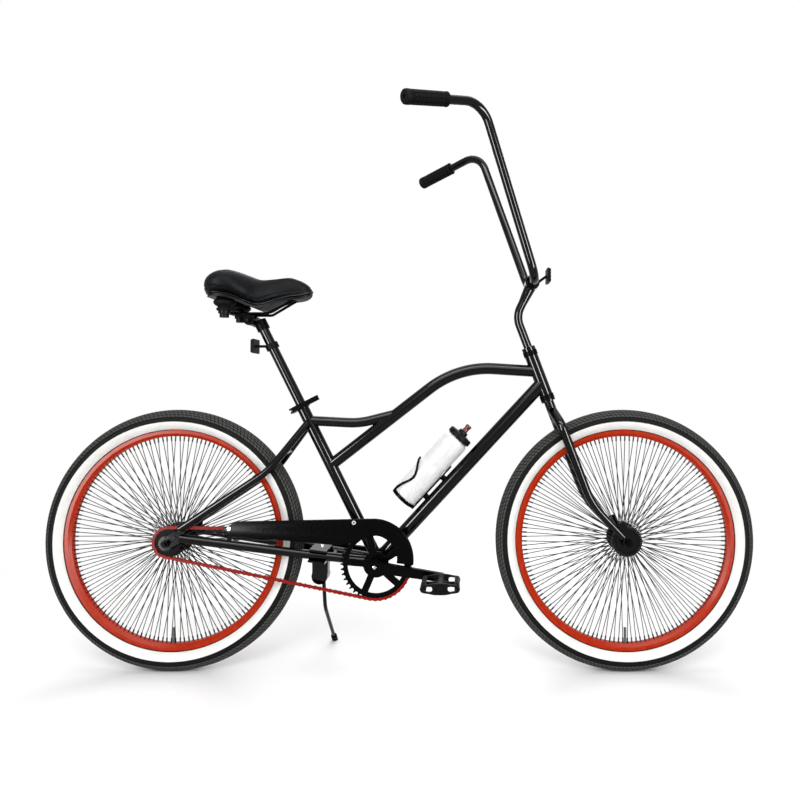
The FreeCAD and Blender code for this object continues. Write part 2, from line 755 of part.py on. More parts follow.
def shell_solid():
    side = ALONG_Y * SHELL_HALF_WIDTH
    return cylinder(BRACKET - side, BRACKET + side, SHELL_RADIUS)


def brace_points():
    start = on_seat(SEAT_TUBE_LENGTH - BRACE_SEAT_DROP)
    drop = math.tan(math.radians(BRACE_DROP_DEG))
    corner = start + V(BRACE_REACH, 0, -BRACE_REACH * drop)
    end = TOP_SEAT_END + unit(TOP_CORNER - TOP_SEAT_END) * BRACE_TOP_JOIN
    return [start, corner, end]


def seatstay_points():
    bend = REAR_HUB + V(SEATSTAY_BEND_REACH, SEATSTAY_BEND_HALF, SEATSTAY_BEND_RISE)
    return [on_seat(SEAT_TUBE_LENGTH - SEATSTAY_SEAT_DROP, 0, SEATSTAY_TOP_HALF), bend, SEATSTAY_END]


def chainstay_points():
    return [CHAINSTAY_ROOT, CHAINSTAY_BEND, CHAINSTAY_END]


def dropout():
    """Left rear dropout plate, from the axle forward to the two stay ends."""
    axle = (REAR_HUB.x, REAR_HUB.z)
    radius = DROPOUT_RADIUS
    front = CHAINSTAY_END.x + CHAINSTAY_RADIUS
    points = [(axle[0], axle[1] - radius), (front, CHAINSTAY_END.z - CHAINSTAY_RADIUS / 2),
              (front, SEATSTAY_END.z + SEATSTAY_RADIUS / 2), (axle[0], axle[1] + radius)]
    inner = REAR_DROPOUT_INNER
    body = plate(points, inner, DROPOUT_THICKNESS)
    start = V(axle[0], inner, axle[1])
    end = start + ALONG_Y * DROPOUT_THICKNESS
    return joined(body, cylinder(start, end, radius)).cut(cylinder(start, end, AXLE_RADIUS + FIT))


def bridge(points, share, radius):
    """A straight tie between the two stays, part of the way along the stay's first run."""
    left = points[0] + (points[1] - points[0]) * share
    right = V(left.x, -left.y, left.z)
    return cylinder(left, right, radius)


GUARD_CENTRE = BRACKET + V(-GUARD_BACK, 0, GUARD_RAISE)


def guard_bolts_at():
    """Centres of the guard's rear and front bolts in the plane of the guard."""
    top = GUARD_CENTRE.z + GUARD_OUTER_RADIUS
    stud_height = top - GUARD_STUD_MARGIN
    share = (stud_height - BRACKET.z) / SEAT_UP.z
    front = on_seat(share)
    tail_middle = top - GUARD_TAIL_DROP - GUARD_TAIL_HEIGHT / 2
    rear = V(GUARD_CENTRE.x - GUARD_TAIL + GUARD_TAIL_HEIGHT / 2, 0, tail_middle)
    return rear, front


def guard_studs():
    """Rear tab off the chainstay and front stud off the seat tube, both on the right."""
    rear, front = guard_bolts_at()
    face = -(GUARD_OFFSET - CLEAR)
    stud = cylinder(V(front.x, 0, front.z), V(front.x, face, front.z), GUARD_STUD_RADIUS)
    half = GUARD_TAB_HALF
    stay_height = CHAINSTAY_END.z
    tab = box_between(V(rear.x - half, face, stay_height - CHAINSTAY_RADIUS * 2),
                      V(rear.x + half, face + GUARD_TAB_THICKNESS, rear.z + half))
    hole_end = V(rear.x, face + GUARD_TAB_THICKNESS, rear.z)
    return stud, tab.cut(cylinder(V(rear.x, face, rear.z), hole_end, BOLT_RADIUS))


def frame_nodes():
    inside_head = cylinder(HEAD_LOW, HEAD_HIGH, HEAD_TUBE_RADIUS - 2 * TUBE_THICKNESS)
    inside_seat = cylinder(BRACKET, on_seat(SEAT_TUBE_LENGTH), POST_RADIUS + FIT)
    side = ALONG_Y * SHELL_HALF_WIDTH
    inside_shell = cylinder(BRACKET - side, BRACKET + side, SHELL_RADIUS - SHELL_WALL)
    head = head_tube_solid()
    seat = seat_tube_solid()
    shell = shell_solid()
    top_outer = bent_rod(TOP_TUBE_POINTS, TOP_TUBE_RADII, TOP_TUBE_RADIUS)
    top = bent_tube(TOP_TUBE_POINTS, TOP_TUBE_RADII, TOP_TUBE_RADIUS, TUBE_THICKNESS)
    brace = bent_tube(brace_points(), [BRACE_BEND_RADIUS], BRACE_RADIUS, TUBE_THICKNESS)
    down = tube(BRACKET, DOWN_TUBE_TOP, DOWN_TUBE_RADIUS, DOWN_TUBE_RADIUS - TUBE_THICKNESS)
    plates = both_sides(dropout())
    chain_points = chainstay_points()
    chain_outer = bent_rod(chain_points, [CHAINSTAY_BEND_RADIUS], CHAINSTAY_RADIUS)
    chainstay = bent_tube(chain_points, [CHAINSTAY_BEND_RADIUS], CHAINSTAY_RADIUS, TUBE_THICKNESS)
    chainstay = coped(chainstay, shell, dropout())
    stay_points = seatstay_points()
    stay_outer = bent_rod(stay_points, [SEATSTAY_BEND_RADIUS], SEATSTAY_RADIUS)
    seatstay = bent_tube(stay_points, [SEATSTAY_BEND_RADIUS], SEATSTAY_RADIUS, TUBE_THICKNESS)
    seatstay = coped(seatstay, seat, dropout(), chain_outer)
    high_bridge = bridge(stay_points, BRIDGE_SHARE, BRIDGE_RADIUS)
    low_bridge = bridge(chain_points, BRIDGE_SHARE, BRIDGE_RADIUS)
    high_bridge = coped(high_bridge, stay_outer, mirrored(stay_outer))
    low_bridge = coped(low_bridge, chain_outer, mirrored(chain_outer))
    stud, tab = guard_studs()
    stud = coped(stud, seat)
    tab = coped(tab, mirrored(chain_outer))
    return {
        "head_tube": head.cut(inside_head),
        "seat_tube": coped(seat.cut(inside_seat), shell),
        "bottom_bracket_shell": shell.cut(inside_shell),
        "top_tube": coped(top, head, seat),
        "brace_tube": coped(brace, seat, top_outer),
        "down_tube": coped(down, head, shell, seat),
        "rear_stays": group(both_sides(chainstay), both_sides(seatstay)),
        "frame_fittings": group(plates, high_bridge, low_bridge, stud, tab),
    }


def bearing_nodes():
    cup_inner = STEERER_RADIUS + RACE_GAP
    cup_low = tube(HEAD_LOW - HEAD_UP * CUP_HEIGHT, HEAD_LOW, CUP_RADIUS, cup_inner)
    cup_high = tube(HEAD_HIGH, HEAD_HIGH + HEAD_UP * CUP_HEIGHT, CUP_RADIUS, cup_inner)
    shell_inner = SHELL_RADIUS - SHELL_WALL
    bearing = SHELL_RADIUS - 2 * SHELL_WALL
    outer_face = SHELL_HALF_WIDTH + CUP_FLANGE
    inner_face = outer_face - BEARING_WIDTH - CUP_FLANGE
    sleeve = tube(ALONG_Y * inner_face, ALONG_Y * SHELL_HALF_WIDTH, shell_inner - FIT, bearing + FIT)
    lip = tube(ALONG_Y * SHELL_HALF_WIDTH, ALONG_Y * outer_face, SHELL_RADIUS, bearing + FIT)
    cups = both_sides(joined(sleeve, lip))
    cups.translate(BRACKET)
    balls = both_sides(tube(ALONG_Y * inner_face, ALONG_Y * outer_face, bearing, SPINDLE_RADIUS + FIT))
    balls.translate(BRACKET)
    ring_outer = cup_inner - FIT
    ring_inner = STEERER_RADIUS + FIT
    low_ring = tube(HEAD_LOW - HEAD_UP * CUP_HEIGHT, HEAD_LOW - HEAD_UP * CLEAR, ring_outer, ring_inner)
    high_ring = tube(HEAD_HIGH + HEAD_UP * CLEAR, HEAD_HIGH + HEAD_UP * CUP_HEIGHT, ring_outer, ring_inner)
    return {
        "bearing_cups": group(cup_low, cup_high, cups),
        "frame_bearings": group(low_ring, high_ring, balls),
    }


def rear_axle_nodes():
    left_end = REAR_FLANGE_OFFSET + FLANGE_THICKNESS / 2 + HUB_END_LENGTH
    arm_inner = left_end + CLEAR
    arm_outer = arm_inner + BRAKE_ARM_THICKNESS
    inner = REAR_DROPOUT_INNER - FIT
    right_start = CHAIN_LINE + SPROCKET_HUB / 2 + CLEAR
    axle = axle_set(REAR_HUB, REAR_DROPOUT_INNER, ((arm_outer + FIT, inner), (right_start, inner)))
    return {"rear_axle_set": axle, "brake_arm": brake_arm(arm_inner, arm_outer)}


def brake_arm(inner, outer):
    """Coaster brake arm on the left, with the strap that holds it to the chainstay."""
    along = unit(CHAINSTAY_BEND - CHAINSTAY_END)
    strap_at = CHAINSTAY_END + along * (BRAKE_REACH - STAY_END_REACH)
    start = strap_at - along * (STRAP_WIDTH / 2)
    end = strap_at + along * (STRAP_WIDTH / 2)
    strap = tube(start, end, CHAINSTAY_RADIUS + FIT + STRAP_WALL, CHAINSTAY_RADIUS + FIT)
    drop = CHAINSTAY_RADIUS + STRAP_WALL + BRAKE_WIDTH / 2
    tip = V(strap_at.x, 0, strap_at.z - drop)
    half = BRAKE_WIDTH / 2
    points = [(REAR_HUB.x, REAR_HUB.z - half), (tip.x, tip.z - half / 2), (tip.x, tip.z + half / 2),
              (REAR_HUB.x, REAR_HUB.z + half)]
    width = outer - inner
    at_axle = V(REAR_HUB.x, inner, REAR_HUB.z)
    at_tip = V(tip.x, inner, tip.z)
    arm = joined(plate(points, inner, width), cylinder(at_axle, at_axle + ALONG_Y * width, half),
                 cylinder(at_tip, at_tip + ALONG_Y * width, half / 2))
    arm = arm.cut(cylinder(at_axle, at_axle + ALONG_Y * width, AXLE_RADIUS + FIT))
    lug = box_between(V(tip.x - half / 2, outer + FIT, tip.z - half / 2),
                      V(tip.x + half / 2, strap_at.y, strap_at.z))
    strap = joined(strap, lug.cut(cylinder(start - along * BRAKE_WIDTH, end + along * BRAKE_WIDTH,
                                           CHAINSTAY_RADIUS + FIT)))
    bolt_head = cylinder(at_tip - ALONG_Y * BOLT_HEAD_HEIGHT, at_tip, STRAP_BOLT_RADIUS)
    return group(arm, strap, bolt_head)


# Drive
def gear_disc(teeth, pitch_radius, phase, thickness):
    """A toothed disc in the plane y = 0, with a roller seat at the angle phase."""
    half = ALONG_Y * (thickness / 2)
    tip = pitch_radius + TOOTH_HEIGHT
    disc = cylinder(-half, half, tip)
    centre = V(pitch_radius, 0, 0)
    low = ROLLER_RADIUS + 2 * FIT
    high = low + TOOTH_RELIEF
    mouth = plate([(pitch_radius, -low), (tip + low, -high), (tip + low, high), (pitch_radius, low)],
                  -thickness, 2 * thickness)
    seat = joined(cylinder(centre - half * 2, centre + half * 2, low), mouth)
    step = 360.0 / teeth
    first = math.degrees(phase)
    seats = [turned(seat, V(0, 0, 0), -first - step * count) for count in range(teeth)]
    return disc.cut(Part.makeCompound(seats))


def chain_frame():
    """Unit vectors along and across the line of centres, and the tangent angle of the runs."""
    along = unit(REAR_HUB - BRACKET)
    across = V(along.z, 0, -along.x)
    lean = math.acos((RING_PITCH_RADIUS - SPROCKET_PITCH_RADIUS) / CHAINSTAY)
    return along, across, lean


def chain_point(distance):
    """Place of a roller at a distance along the chain, from the top of the chainring backwards."""
    along, across, lean = chain_frame()
    straight = CHAINSTAY * math.sin(lean)
    rear_arc = 2 * lean * SPROCKET_PITCH_RADIUS
    upper = along * math.cos(lean) + across * math.sin(lean)
    lower = along * math.cos(lean) - across * math.sin(lean)
    total = CHAIN_LINKS * CHAIN_PITCH
    distance = distance % total
    if distance < straight:
        share = distance / straight
        start = BRACKET + upper * RING_PITCH_RADIUS
        end = REAR_HUB + upper * SPROCKET_PITCH_RADIUS
        return start + (end - start) * share
    if distance < straight + rear_arc:
        angle = lean - (distance - straight) / SPROCKET_PITCH_RADIUS
        return REAR_HUB + (along * math.cos(angle) + across * math.sin(angle)) * SPROCKET_PITCH_RADIUS
    if distance < 2 * straight + rear_arc:
        share = (distance - straight - rear_arc) / straight
        start = REAR_HUB + lower * SPROCKET_PITCH_RADIUS
        end = BRACKET + lower * RING_PITCH_RADIUS
        return start + (end - start) * share
    angle = -lean - (distance - 2 * straight - rear_arc) / RING_PITCH_RADIUS
    return BRACKET + (along * math.cos(angle) + across * math.sin(angle)) * RING_PITCH_RADIUS


def angle_from(centre, point):
    return math.atan2(point.z - centre.z, point.x - centre.x)


def link_plate(offset):
    """A chain side plate along X from pin to pin, lying from y = offset outwards."""
    first = V(-CHAIN_PITCH / 2, offset, 0)
    second = V(CHAIN_PITCH / 2, offset, 0)
    thick = ALONG_Y * PLATE_THICKNESS
    bar = box_between(V(first.x, offset, -PLATE_WAIST),
                      V(second.x, offset + PLATE_THICKNESS, PLATE_WAIST))
    ends = [cylinder(point, point + thick, PLATE_END_RADIUS) for point in (first, second)]
    return joined(bar, *ends)


def chain_link(inner):
    half_inner = CHAIN_INNER_WIDTH / 2
    offset = half_inner if inner else half_inner + PLATE_THICKNESS + FIT
    plates = [link_plate(offset), mirrored(link_plate(offset))]
    reach = ALONG_Y * (offset + PLATE_THICKNESS)
    rods = []
    for sign in (-1, 1):
        centre = V(sign * CHAIN_PITCH / 2, 0, 0)
        radius = ROLLER_RADIUS if inner else PIN_RADIUS
        length = ALONG_Y * half_inner if inner else reach + ALONG_Y * (PLATE_THICKNESS / 2)
        rods.append(cylinder(centre - length, centre + length, radius))
    link = joined(*plates, *rods)
    if inner:
        for sign in (-1, 1):
            centre = V(sign * CHAIN_PITCH / 2, 0, 0)
            link = link.cut(cylinder(centre - reach * 2, centre + reach * 2, PIN_RADIUS + FIT))
    return link


def chain():
    links = []
    patterns = [chain_link(True), chain_link(False)]
    for count in range(CHAIN_LINKS):
        start = chain_point(count * CHAIN_PITCH)
        end = chain_point((count + 1) * CHAIN_PITCH)
        middle = (start + end) * 0.5 - ALONG_Y * CHAIN_LINE
        angle = math.degrees(math.atan2(end.z - start.z, end.x - start.x))
        link = patterns[count % 2].copy()
        link.Placement = FreeCAD.Placement(middle, FreeCAD.Rotation(ALONG_Y, -angle))
        links.append(link)
    return group(*links)


def chainring():
    phase = angle_from(BRACKET, chain_point(0))
    disc = gear_disc(RING_TEETH, RING_PITCH_RADIUS, phase, TOOTH_THICKNESS)
    half = ALONG_Y * TOOTH_THICKNESS
    band_inner = RING_PITCH_RADIUS - RING_BAND
    window = cylinder(-half, half, band_inner).cut(cylinder(-half, half, RING_CENTRE_RADIUS))
    for count in range(RING_ARMS):
        angle = -RING_TURN_DEG - 360.0 / RING_ARMS * count
        arm = box_between(V(0, -TOOTH_THICKNESS, -RING_ARM_WIDTH / 2),
                          V(RING_PITCH_RADIUS, TOOTH_THICKNESS, RING_ARM_WIDTH / 2))
        window = window.cut(turned(arm, V(0, 0, 0), -angle))
    ring = disc.cut(window).cut(cylinder(-half, half, CRANK_BOSS_RADIUS + FIT))
    ring.translate(BRACKET - ALONG_Y * CHAIN_LINE)
    return ring


def rear_sprocket():
    along, across, lean = chain_frame()
    straight = CHAINSTAY * math.sin(lean)
    first = math.ceil(straight / CHAIN_PITCH) * CHAIN_PITCH
    phase = angle_from(REAR_HUB, chain_point(first))
    disc = gear_disc(SPROCKET_TEETH, SPROCKET_PITCH_RADIUS, phase, TOOTH_THICKNESS)
    hub_end = REAR_FLANGE_OFFSET + FLANGE_THICKNESS / 2 + HUB_END_LENGTH
    inner_side = ALONG_Y * (CHAIN_LINE - hub_end - CLEAR)
    outer_side = ALONG_Y * (SPROCKET_HUB / 2)
    driver = cylinder(-outer_side, inner_side, HUB_END_RADIUS)
    bore = cylinder(-outer_side * 2, inner_side * 2, AXLE_RADIUS + FIT)
    sprocket = joined(disc, driver).cut(bore)
    sprocket.translate(REAR_HUB - ALONG_Y * CHAIN_LINE)
    return sprocket


def crank_arm():
    """Left crank arm, lying along +X from the spindle; its boss reaches inboard."""
    outer = CRANK_INNER + CRANK_THICKNESS
    half_hub = CRANK_HUB_WIDTH / 2
    half_tip = CRANK_TIP_WIDTH / 2
    body = plate([(0, -half_hub), (CRANK_LENGTH, -half_tip), (CRANK_LENGTH, half_tip), (0, half_hub)],
                 CRANK_INNER, CRANK_THICKNESS)
    tip = V(CRANK_LENGTH, 0, 0)
    boss = cylinder(ALONG_Y * CRANK_BOSS_INNER, ALONG_Y * outer, CRANK_BOSS_RADIUS)
    end = cylinder(tip + ALONG_Y * CRANK_INNER, tip + ALONG_Y * outer, half_tip)
    arm = joined(body, boss, end)
    arm = arm.cut(cylinder(V(0, 0, 0), ALONG_Y * outer * 2, SPINDLE_RADIUS + FIT))
    return arm.cut(cylinder(tip, tip + ALONG_Y * outer * 2, PEDAL_SPINDLE_RADIUS + FIT))


def pedal_spindle():
    """Left pedal spindle about the crank's tip, with the collar that is tightened on the arm."""
    outer = CRANK_INNER + CRANK_THICKNESS
    end = outer + FIT + PEDAL_COLLAR + PEDAL_WIDTH - PEDAL_RAIL
    rod = cylinder(ALONG_Y * CRANK_INNER, ALONG_Y * end, PEDAL_SPINDLE_RADIUS)
    collar = cylinder(ALONG_Y * (outer + FIT), ALONG_Y * (outer + FIT + PEDAL_COLLAR), PEDAL_COLLAR_RADIUS)
    return joined(rod, collar)


def pedal():
    """Left pedal about its spindle: a cage of four rails round a barrel."""
    start = CRANK_INNER + CRANK_THICKNESS + FIT + PEDAL_COLLAR + CLEAR
    end = start + PEDAL_WIDTH
    half = PEDAL_LENGTH / 2
    tall = PEDAL_HEIGHT / 2
    body = box_between(V(-half, start, -tall), V(half, end, tall))
    window = box_between(V(PEDAL_BARREL_RADIUS + CLEAR, start + PEDAL_RAIL, -PEDAL_HEIGHT),
                         V(half - PEDAL_RAIL, end - PEDAL_RAIL, PEDAL_HEIGHT))
    other = window.mirror(V(0, 0, 0), V(1, 0, 0))
    upright = [edge for edge in body.Edges if edge.Vertexes[0].Z * edge.Vertexes[1].Z < 0]
    body = body.makeFillet(PEDAL_RAIL, upright)
    bore = cylinder(ALONG_Y * (start - 1), ALONG_Y * (end - PEDAL_RAIL + CLEAR), PEDAL_SPINDLE_RADIUS + CLEAR)
    return body.cut(window).cut(other).cut(bore)


def pedal_centre(sign):
    """Spindle line at the crank tip: +1 on the left arm, -1 on the right."""
    return BRACKET - CRANK_ALONG * (CRANK_LENGTH * sign)


def crank_nodes():
    turn_left = 180 + CRANK_DROP_DEG
    turn_right = CRANK_DROP_DEG
    left_arm = turned(crank_arm(), V(0, 0, 0), turn_left)
    right_arm = turned(mirrored(crank_arm()), V(0, 0, 0), turn_right)
    left_arm.translate(BRACKET)
    right_arm.translate(BRACKET)
    half = ALONG_Y * (CRANK_INNER + CRANK_THICKNESS / 2)
    spindle = cylinder(BRACKET - half, BRACKET + half, SPINDLE_RADIUS)
    cap_start = CRANK_INNER + CRANK_THICKNESS / 2 + FIT
    cap = cylinder(ALONG_Y * cap_start, ALONG_Y * (CRANK_INNER + CRANK_THICKNESS), SPINDLE_RADIUS - FIT)
    caps = both_sides(cap)
    caps.translate(BRACKET)
    left_spindle = pedal_spindle()
    right_spindle = mirrored(pedal_spindle())
    left_spindle.translate(pedal_centre(1))
    right_spindle.translate(pedal_centre(-1))
    left_pedal = pedal()
    right_pedal = mirrored(pedal())
    left_pedal.translate(pedal_centre(1))
    right_pedal.translate(pedal_centre(-1))
    return {
        "crank_axle_set": group(spindle, caps, left_spindle, right_spindle),
        "crank_arms": group(left_arm, right_arm),
        "chainring": chainring(),
        "rear_sprocket": rear_sprocket(),
        "chain": chain(),
        "left_pedal": left_pedal,
        "right_pedal": right_pedal,
    }


def chain_guard():
    """Flat guard outside the chain: a straight tail, and a band round the front of the chainring."""
    centre = GUARD_CENTRE
    outer = GUARD_OUTER_RADIUS
    front = math.radians(GUARD_FRONT_DEG)
    plane = -(GUARD_OFFSET + GUARD_THICKNESS)
    top = centre.z + outer
    tail = centre.x - GUARD_TAIL
    low = top - GUARD_TAIL_DROP - GUARD_TAIL_HEIGHT
    start = V(centre.x, plane, top)
    knee = math.radians(GUARD_KNEE_DEG)
    middle = V(centre.x + outer * math.cos(knee), plane, centre.z + outer * math.sin(knee))
    end = V(centre.x + outer * math.cos(front), plane, centre.z + outer * math.sin(front))
    inner = outer - GUARD_BAND
    inner_end = V(centre.x + inner * math.cos(front), plane, centre.z + inner * math.sin(front))
    inner_middle = V(centre.x + inner * math.cos(knee), plane, centre.z + inner * math.sin(knee))
    inner_start = V(centre.x - inner * math.sin(knee), plane, centre.z + inner * math.cos(knee))
    heel = V(centre.x - GUARD_HEEL_REACH, plane, inner_start.z - GUARD_TAIL_DROP)
    tip = V(tail, plane, low + GUARD_TIP_RISE)
    edges = [
        Part.Arc(start, middle, end).toShape(),
        Part.LineSegment(end, inner_end).toShape(),
        Part.Arc(inner_end, inner_middle, inner_start).toShape(),
        Part.LineSegment(inner_start, heel).toShape(),
        Part.LineSegment(heel, V(tail + GUARD_TAIL_HEIGHT / 2, plane, low)).toShape(),
        Part.LineSegment(V(tail + GUARD_TAIL_HEIGHT / 2, plane, low), tip).toShape(),
        Part.LineSegment(tip, V(tail + GUARD_TAIL_HEIGHT, plane, top - GUARD_TAIL_DROP)).toShape(),
        Part.LineSegment(V(tail + GUARD_TAIL_HEIGHT, plane, top - GUARD_TAIL_DROP), start).toShape(),
    ]
    sheet = Part.Face(Part.Wire(edges)).extrude(V(0, GUARD_THICKNESS, 0))
    for bolt in guard_bolts_at():
        hole_start = V(bolt.x, plane - GUARD_THICKNESS, bolt.z)
        hole_end = hole_start + ALONG_Y * (3 * GUARD_THICKNESS)
        sheet = sheet.cut(cylinder(hole_start, hole_end, BOLT_RADIUS + FIT))
    return sheet


def bolt(seat, direction, length):
    """A round headed bolt whose head rests on seat and whose shank runs along direction."""
    head = cylinder(seat - direction * BOLT_HEAD_HEIGHT, seat, BOLT_HEAD_RADIUS)
    if length <= 0:
        return head
    return joined(head, cylinder(seat, seat + direction * length, BOLT_RADIUS))


# Fork, stem and bar
def fork_dropout():
    """Left front dropout plate, from the blade's tip down round the axle."""
    inner = FRONT_DROPOUT_INNER
    start = FRONT_HUB + ALONG_Y * inner
    end = start + ALONG_Y * DROPOUT_THICKNESS
    eye = cylinder(start, end, FORK_EYE_RADIUS)
    toward = unit(blade_points()[1] - blade_points()[2])
    across = V(toward.z, 0, -toward.x)
    root = V(FRONT_HUB.x, 0, FRONT_HUB.z)
    tip = root + V(toward.x, 0, toward.z) * FORK_TANG_LENGTH
    half = BLADE_TIP_RADIUS
    corners = [root + across * half, tip + across * half, tip - across * half, root - across * half]
    tang = plate([(corner.x, corner.z) for corner in corners], inner, DROPOUT_THICKNESS)
    return joined(eye, tang).cut(cylinder(start, end, AXLE_RADIUS + FIT))


def blade_points():
    """Left fork blade from the crown to just above the axle."""
    side = BLADE_HALF_SPACING
    top = on_head(FORK_LENGTH - CUP_HEIGHT - RACE_HEIGHT - CROWN_DROP)
    shoulder = on_head(FORK_LENGTH - CUP_HEIGHT - RACE_HEIGHT - CROWN_BEND_DROP, BLADE_FORWARD)
    bend = on_head(BLADE_BEND_RISE, BLADE_FORWARD)
    foot = FRONT_HUB + V(0, FRONT_DROPOUT_INNER + DROPOUT_THICKNESS / 2, 0)
    bend_side = bend + ALONG_Y * (side + (foot.y - side) / 2)
    tip = foot + unit(bend_side - foot) * DROPOUT_RADIUS
    return [top, shoulder + ALONG_Y * side, bend_side, tip]


def steering_nodes():
    crown = FORK_LENGTH - CUP_HEIGHT - RACE_HEIGHT
    bottom = on_head(crown - 2 * CROWN_DROP)
    top = on_head(LOCKNUT_TOP)
    steerer = tube(bottom, top, STEERER_RADIUS, QUILL_RADIUS + FIT)
    race = tube(on_head(crown), on_head(crown + RACE_HEIGHT - FIT), CUP_RADIUS, STEERER_RADIUS + FIT)
    nut_low = FORK_LENGTH + HEAD_TUBE_LENGTH + CUP_HEIGHT + FIT
    nut_high = nut_low + LOCKNUT_HEIGHT - FIT
    locknut = tube(on_head(nut_low), on_head(nut_high), LOCKNUT_RADIUS, STEERER_RADIUS + FIT)
    points = blade_points()
    radii = [CROWN_BEND_RADIUS, BLADE_BEND_RADIUS]
    outer = tapered_rod(points, radii, BLADE_RADIUS, BLADE_TIP_RADIUS)
    inner = tapered_rod(points, radii, BLADE_RADIUS - TUBE_THICKNESS, BLADE_TIP_RADIUS - TUBE_THICKNESS)
    core = cylinder(bottom, top, STEERER_RADIUS)
    blade = coped(outer.cut(inner), core, fork_dropout())
    cone_start = FRONT_FLANGE_OFFSET + FLANGE_THICKNESS / 2 + HUB_END_LENGTH + CLEAR
    cone = (cone_start, FRONT_DROPOUT_INNER - FIT)
    return {
        "fork_steerer": group(steerer, race, locknut),
        "fork_blades": group(both_sides(blade), both_sides(fork_dropout())),
        "front_axle_set": axle_set(FRONT_HUB, FRONT_DROPOUT_INNER, (cone, cone)),
    }


def stem_nodes():
    bottom = on_head(LOCKNUT_TOP - QUILL_INSERT)
    points = [bottom, STEM_CORNER, BAR_CENTRE]
    quill = bent_tube(points, [STEM_BEND_RADIUS], QUILL_RADIUS, QUILL_WALL)
    side = ALONG_Y * CLAMP_HALF_WIDTH
    eye = cylinder(BAR_CENTRE - side, BAR_CENTRE + side, CLAMP_RADIUS)
    bore = cylinder(BAR_CENTRE - side, BAR_CENTRE + side, BAR_RADIUS + FIT)
    along = unit(BAR_CENTRE - STEM_CORNER)
    flare = Part.makeCone(QUILL_RADIUS, STEM_FLARE_RADIUS, STEM_FLARE_LENGTH,
                          BAR_CENTRE - along * STEM_FLARE_LENGTH, along)
    split = BAR_CENTRE + along * CLEAR
    reach = 2 * CLAMP_RADIUS
    half_space = Part.makeBox(4 * reach, 4 * reach, reach, V(-2 * reach, -2 * reach, 0))
    half_space.Placement = FreeCAD.Placement(split, FreeCAD.Rotation(V(0, 0, 1), along))
    stem = joined(quill, flare, eye).cut(bore).cut(half_space)
    cap_space = half_space.copy()
    cap_space.translate(along * CLEAR)
    cap = eye.cut(bore).common(cap_space)
    across = V(along.z, 0, -along.x)
    bolts = []
    for lateral in (-1, 1):
        for way in (-1, 1):
            middle = (BAR_RADIUS + CLAMP_RADIUS) / 2
            spot = BAR_CENTRE + across * (middle * way) + ALONG_Y * (STEM_BOLT_SPACING / 2 * lateral)
            seat = spot + along * math.sqrt(CLAMP_RADIUS ** 2 - middle ** 2)
            deep = spot - along * STEM_BOLT_GRIP
            shank = cylinder(seat + along * BOLT_HEAD_HEIGHT, deep, STEM_BOLT_RADIUS)
            through = cylinder(seat + along * CLAMP_RADIUS, spot - along * CLAMP_RADIUS,
                               STEM_BOLT_RADIUS + FIT)
            cap = cap.cut(through)
            stem = stem.cut(cylinder(seat, deep, STEM_BOLT_RADIUS + FIT))
            head = cylinder(seat + along * FIT, seat + along * BOLT_HEAD_HEIGHT, STEM_BOLT_HEAD_RADIUS)
            bolts.append(joined(shank, head.cut(eye)))
    return stem, cap, bolts


def bar_points():
    base = BAR_CENTRE + ALONG_Y * BAR_BASE_HALF
    top = BAR_CENTRE + V(-BAR_LEAN_BACK, BAR_TOP_HALF, BAR_RISE)
    half = [base, top, BAR_END]
    other = [V(point.x, -point.y, point.z) for point in reversed(half)]
    return other + half


def grip():
    """Left grip: a sleeve with a low flange at its inner end and a cap over the bar's end."""
    inner_end = BAR_END - GRIP_DIRECTION * (GRIP_LENGTH - GRIP_CAP)
    outer_end = BAR_END + GRIP_DIRECTION * GRIP_CAP
    sleeve = cylinder(inner_end, outer_end, GRIP_RADIUS)
    flange = cylinder(inner_end, inner_end + GRIP_DIRECTION * GRIP_FLANGE, GRIP_FLANGE_RADIUS)
    lip = cylinder(outer_end - GRIP_DIRECTION * GRIP_FLANGE, outer_end, GRIP_LIP_RADIUS)
    socket = cylinder(inner_end, BAR_END + GRIP_DIRECTION * FIT, BAR_RADIUS + FIT)
    return joined(sleeve, flange, lip).cut(socket)


def reflector(centre, facing, arm_root):
    """Housing with its arm, and the lens on its face. Facing is a horizontal direction."""
    across = ALONG_Y
    up = facing.cross(across)
    rotation = FreeCAD.Rotation(facing, across, up, "XYZ")
    place = FreeCAD.Placement(centre, rotation)
    half_width = REFLECTOR_WIDTH / 2
    half_height = REFLECTOR_HEIGHT / 2
    body_depth = REFLECTOR_DEPTH - LENS_DEPTH
    housing = box_between(V(-body_depth, -half_width, -half_height), V(0, half_width, half_height))
    housing.Placement = place
    lens_width = half_width - LENS_MARGIN
    lens_height = half_height - LENS_MARGIN
    lens = box_between(V(FIT, -lens_width, -lens_height), V(LENS_DEPTH, lens_width, lens_height))
    lens.Placement = place
    arm = cylinder(arm_root, centre - facing * body_depth, REFLECTOR_ARM_RADIUS)
    return joined(housing, arm), lens


def bar_nodes():
    stem, cap, bolts = stem_nodes()
    points = bar_points()
    radii = [BAR_TOP_BEND, BAR_BASE_BEND, BAR_BASE_BEND, BAR_TOP_BEND]
    root = BAR_CENTRE + V(FRONT_ARM_ROOT_REACH, 0, FRONT_ARM_ROOT_RISE)
    place = BAR_CENTRE + V(FRONT_ARM_REACH, 0, FRONT_ARM_RISE)
    eye_side = ALONG_Y * CLAMP_HALF_WIDTH
    eye = cylinder(BAR_CENTRE - eye_side, BAR_CENTRE + eye_side, CLAMP_RADIUS + FIT)
    housing, lens = reflector(place, V(1, 0, 0), root)
    return {
        "stem": stem,
        "stem_clamp_cap": cap,
        "stem_bolts": group(*bolts),
        "front_reflector": group(coped(housing, eye), lens),
        "handlebar": bent_tube(points, radii, BAR_RADIUS, BAR_WALL),
        "grips": both_sides(grip()),
    }


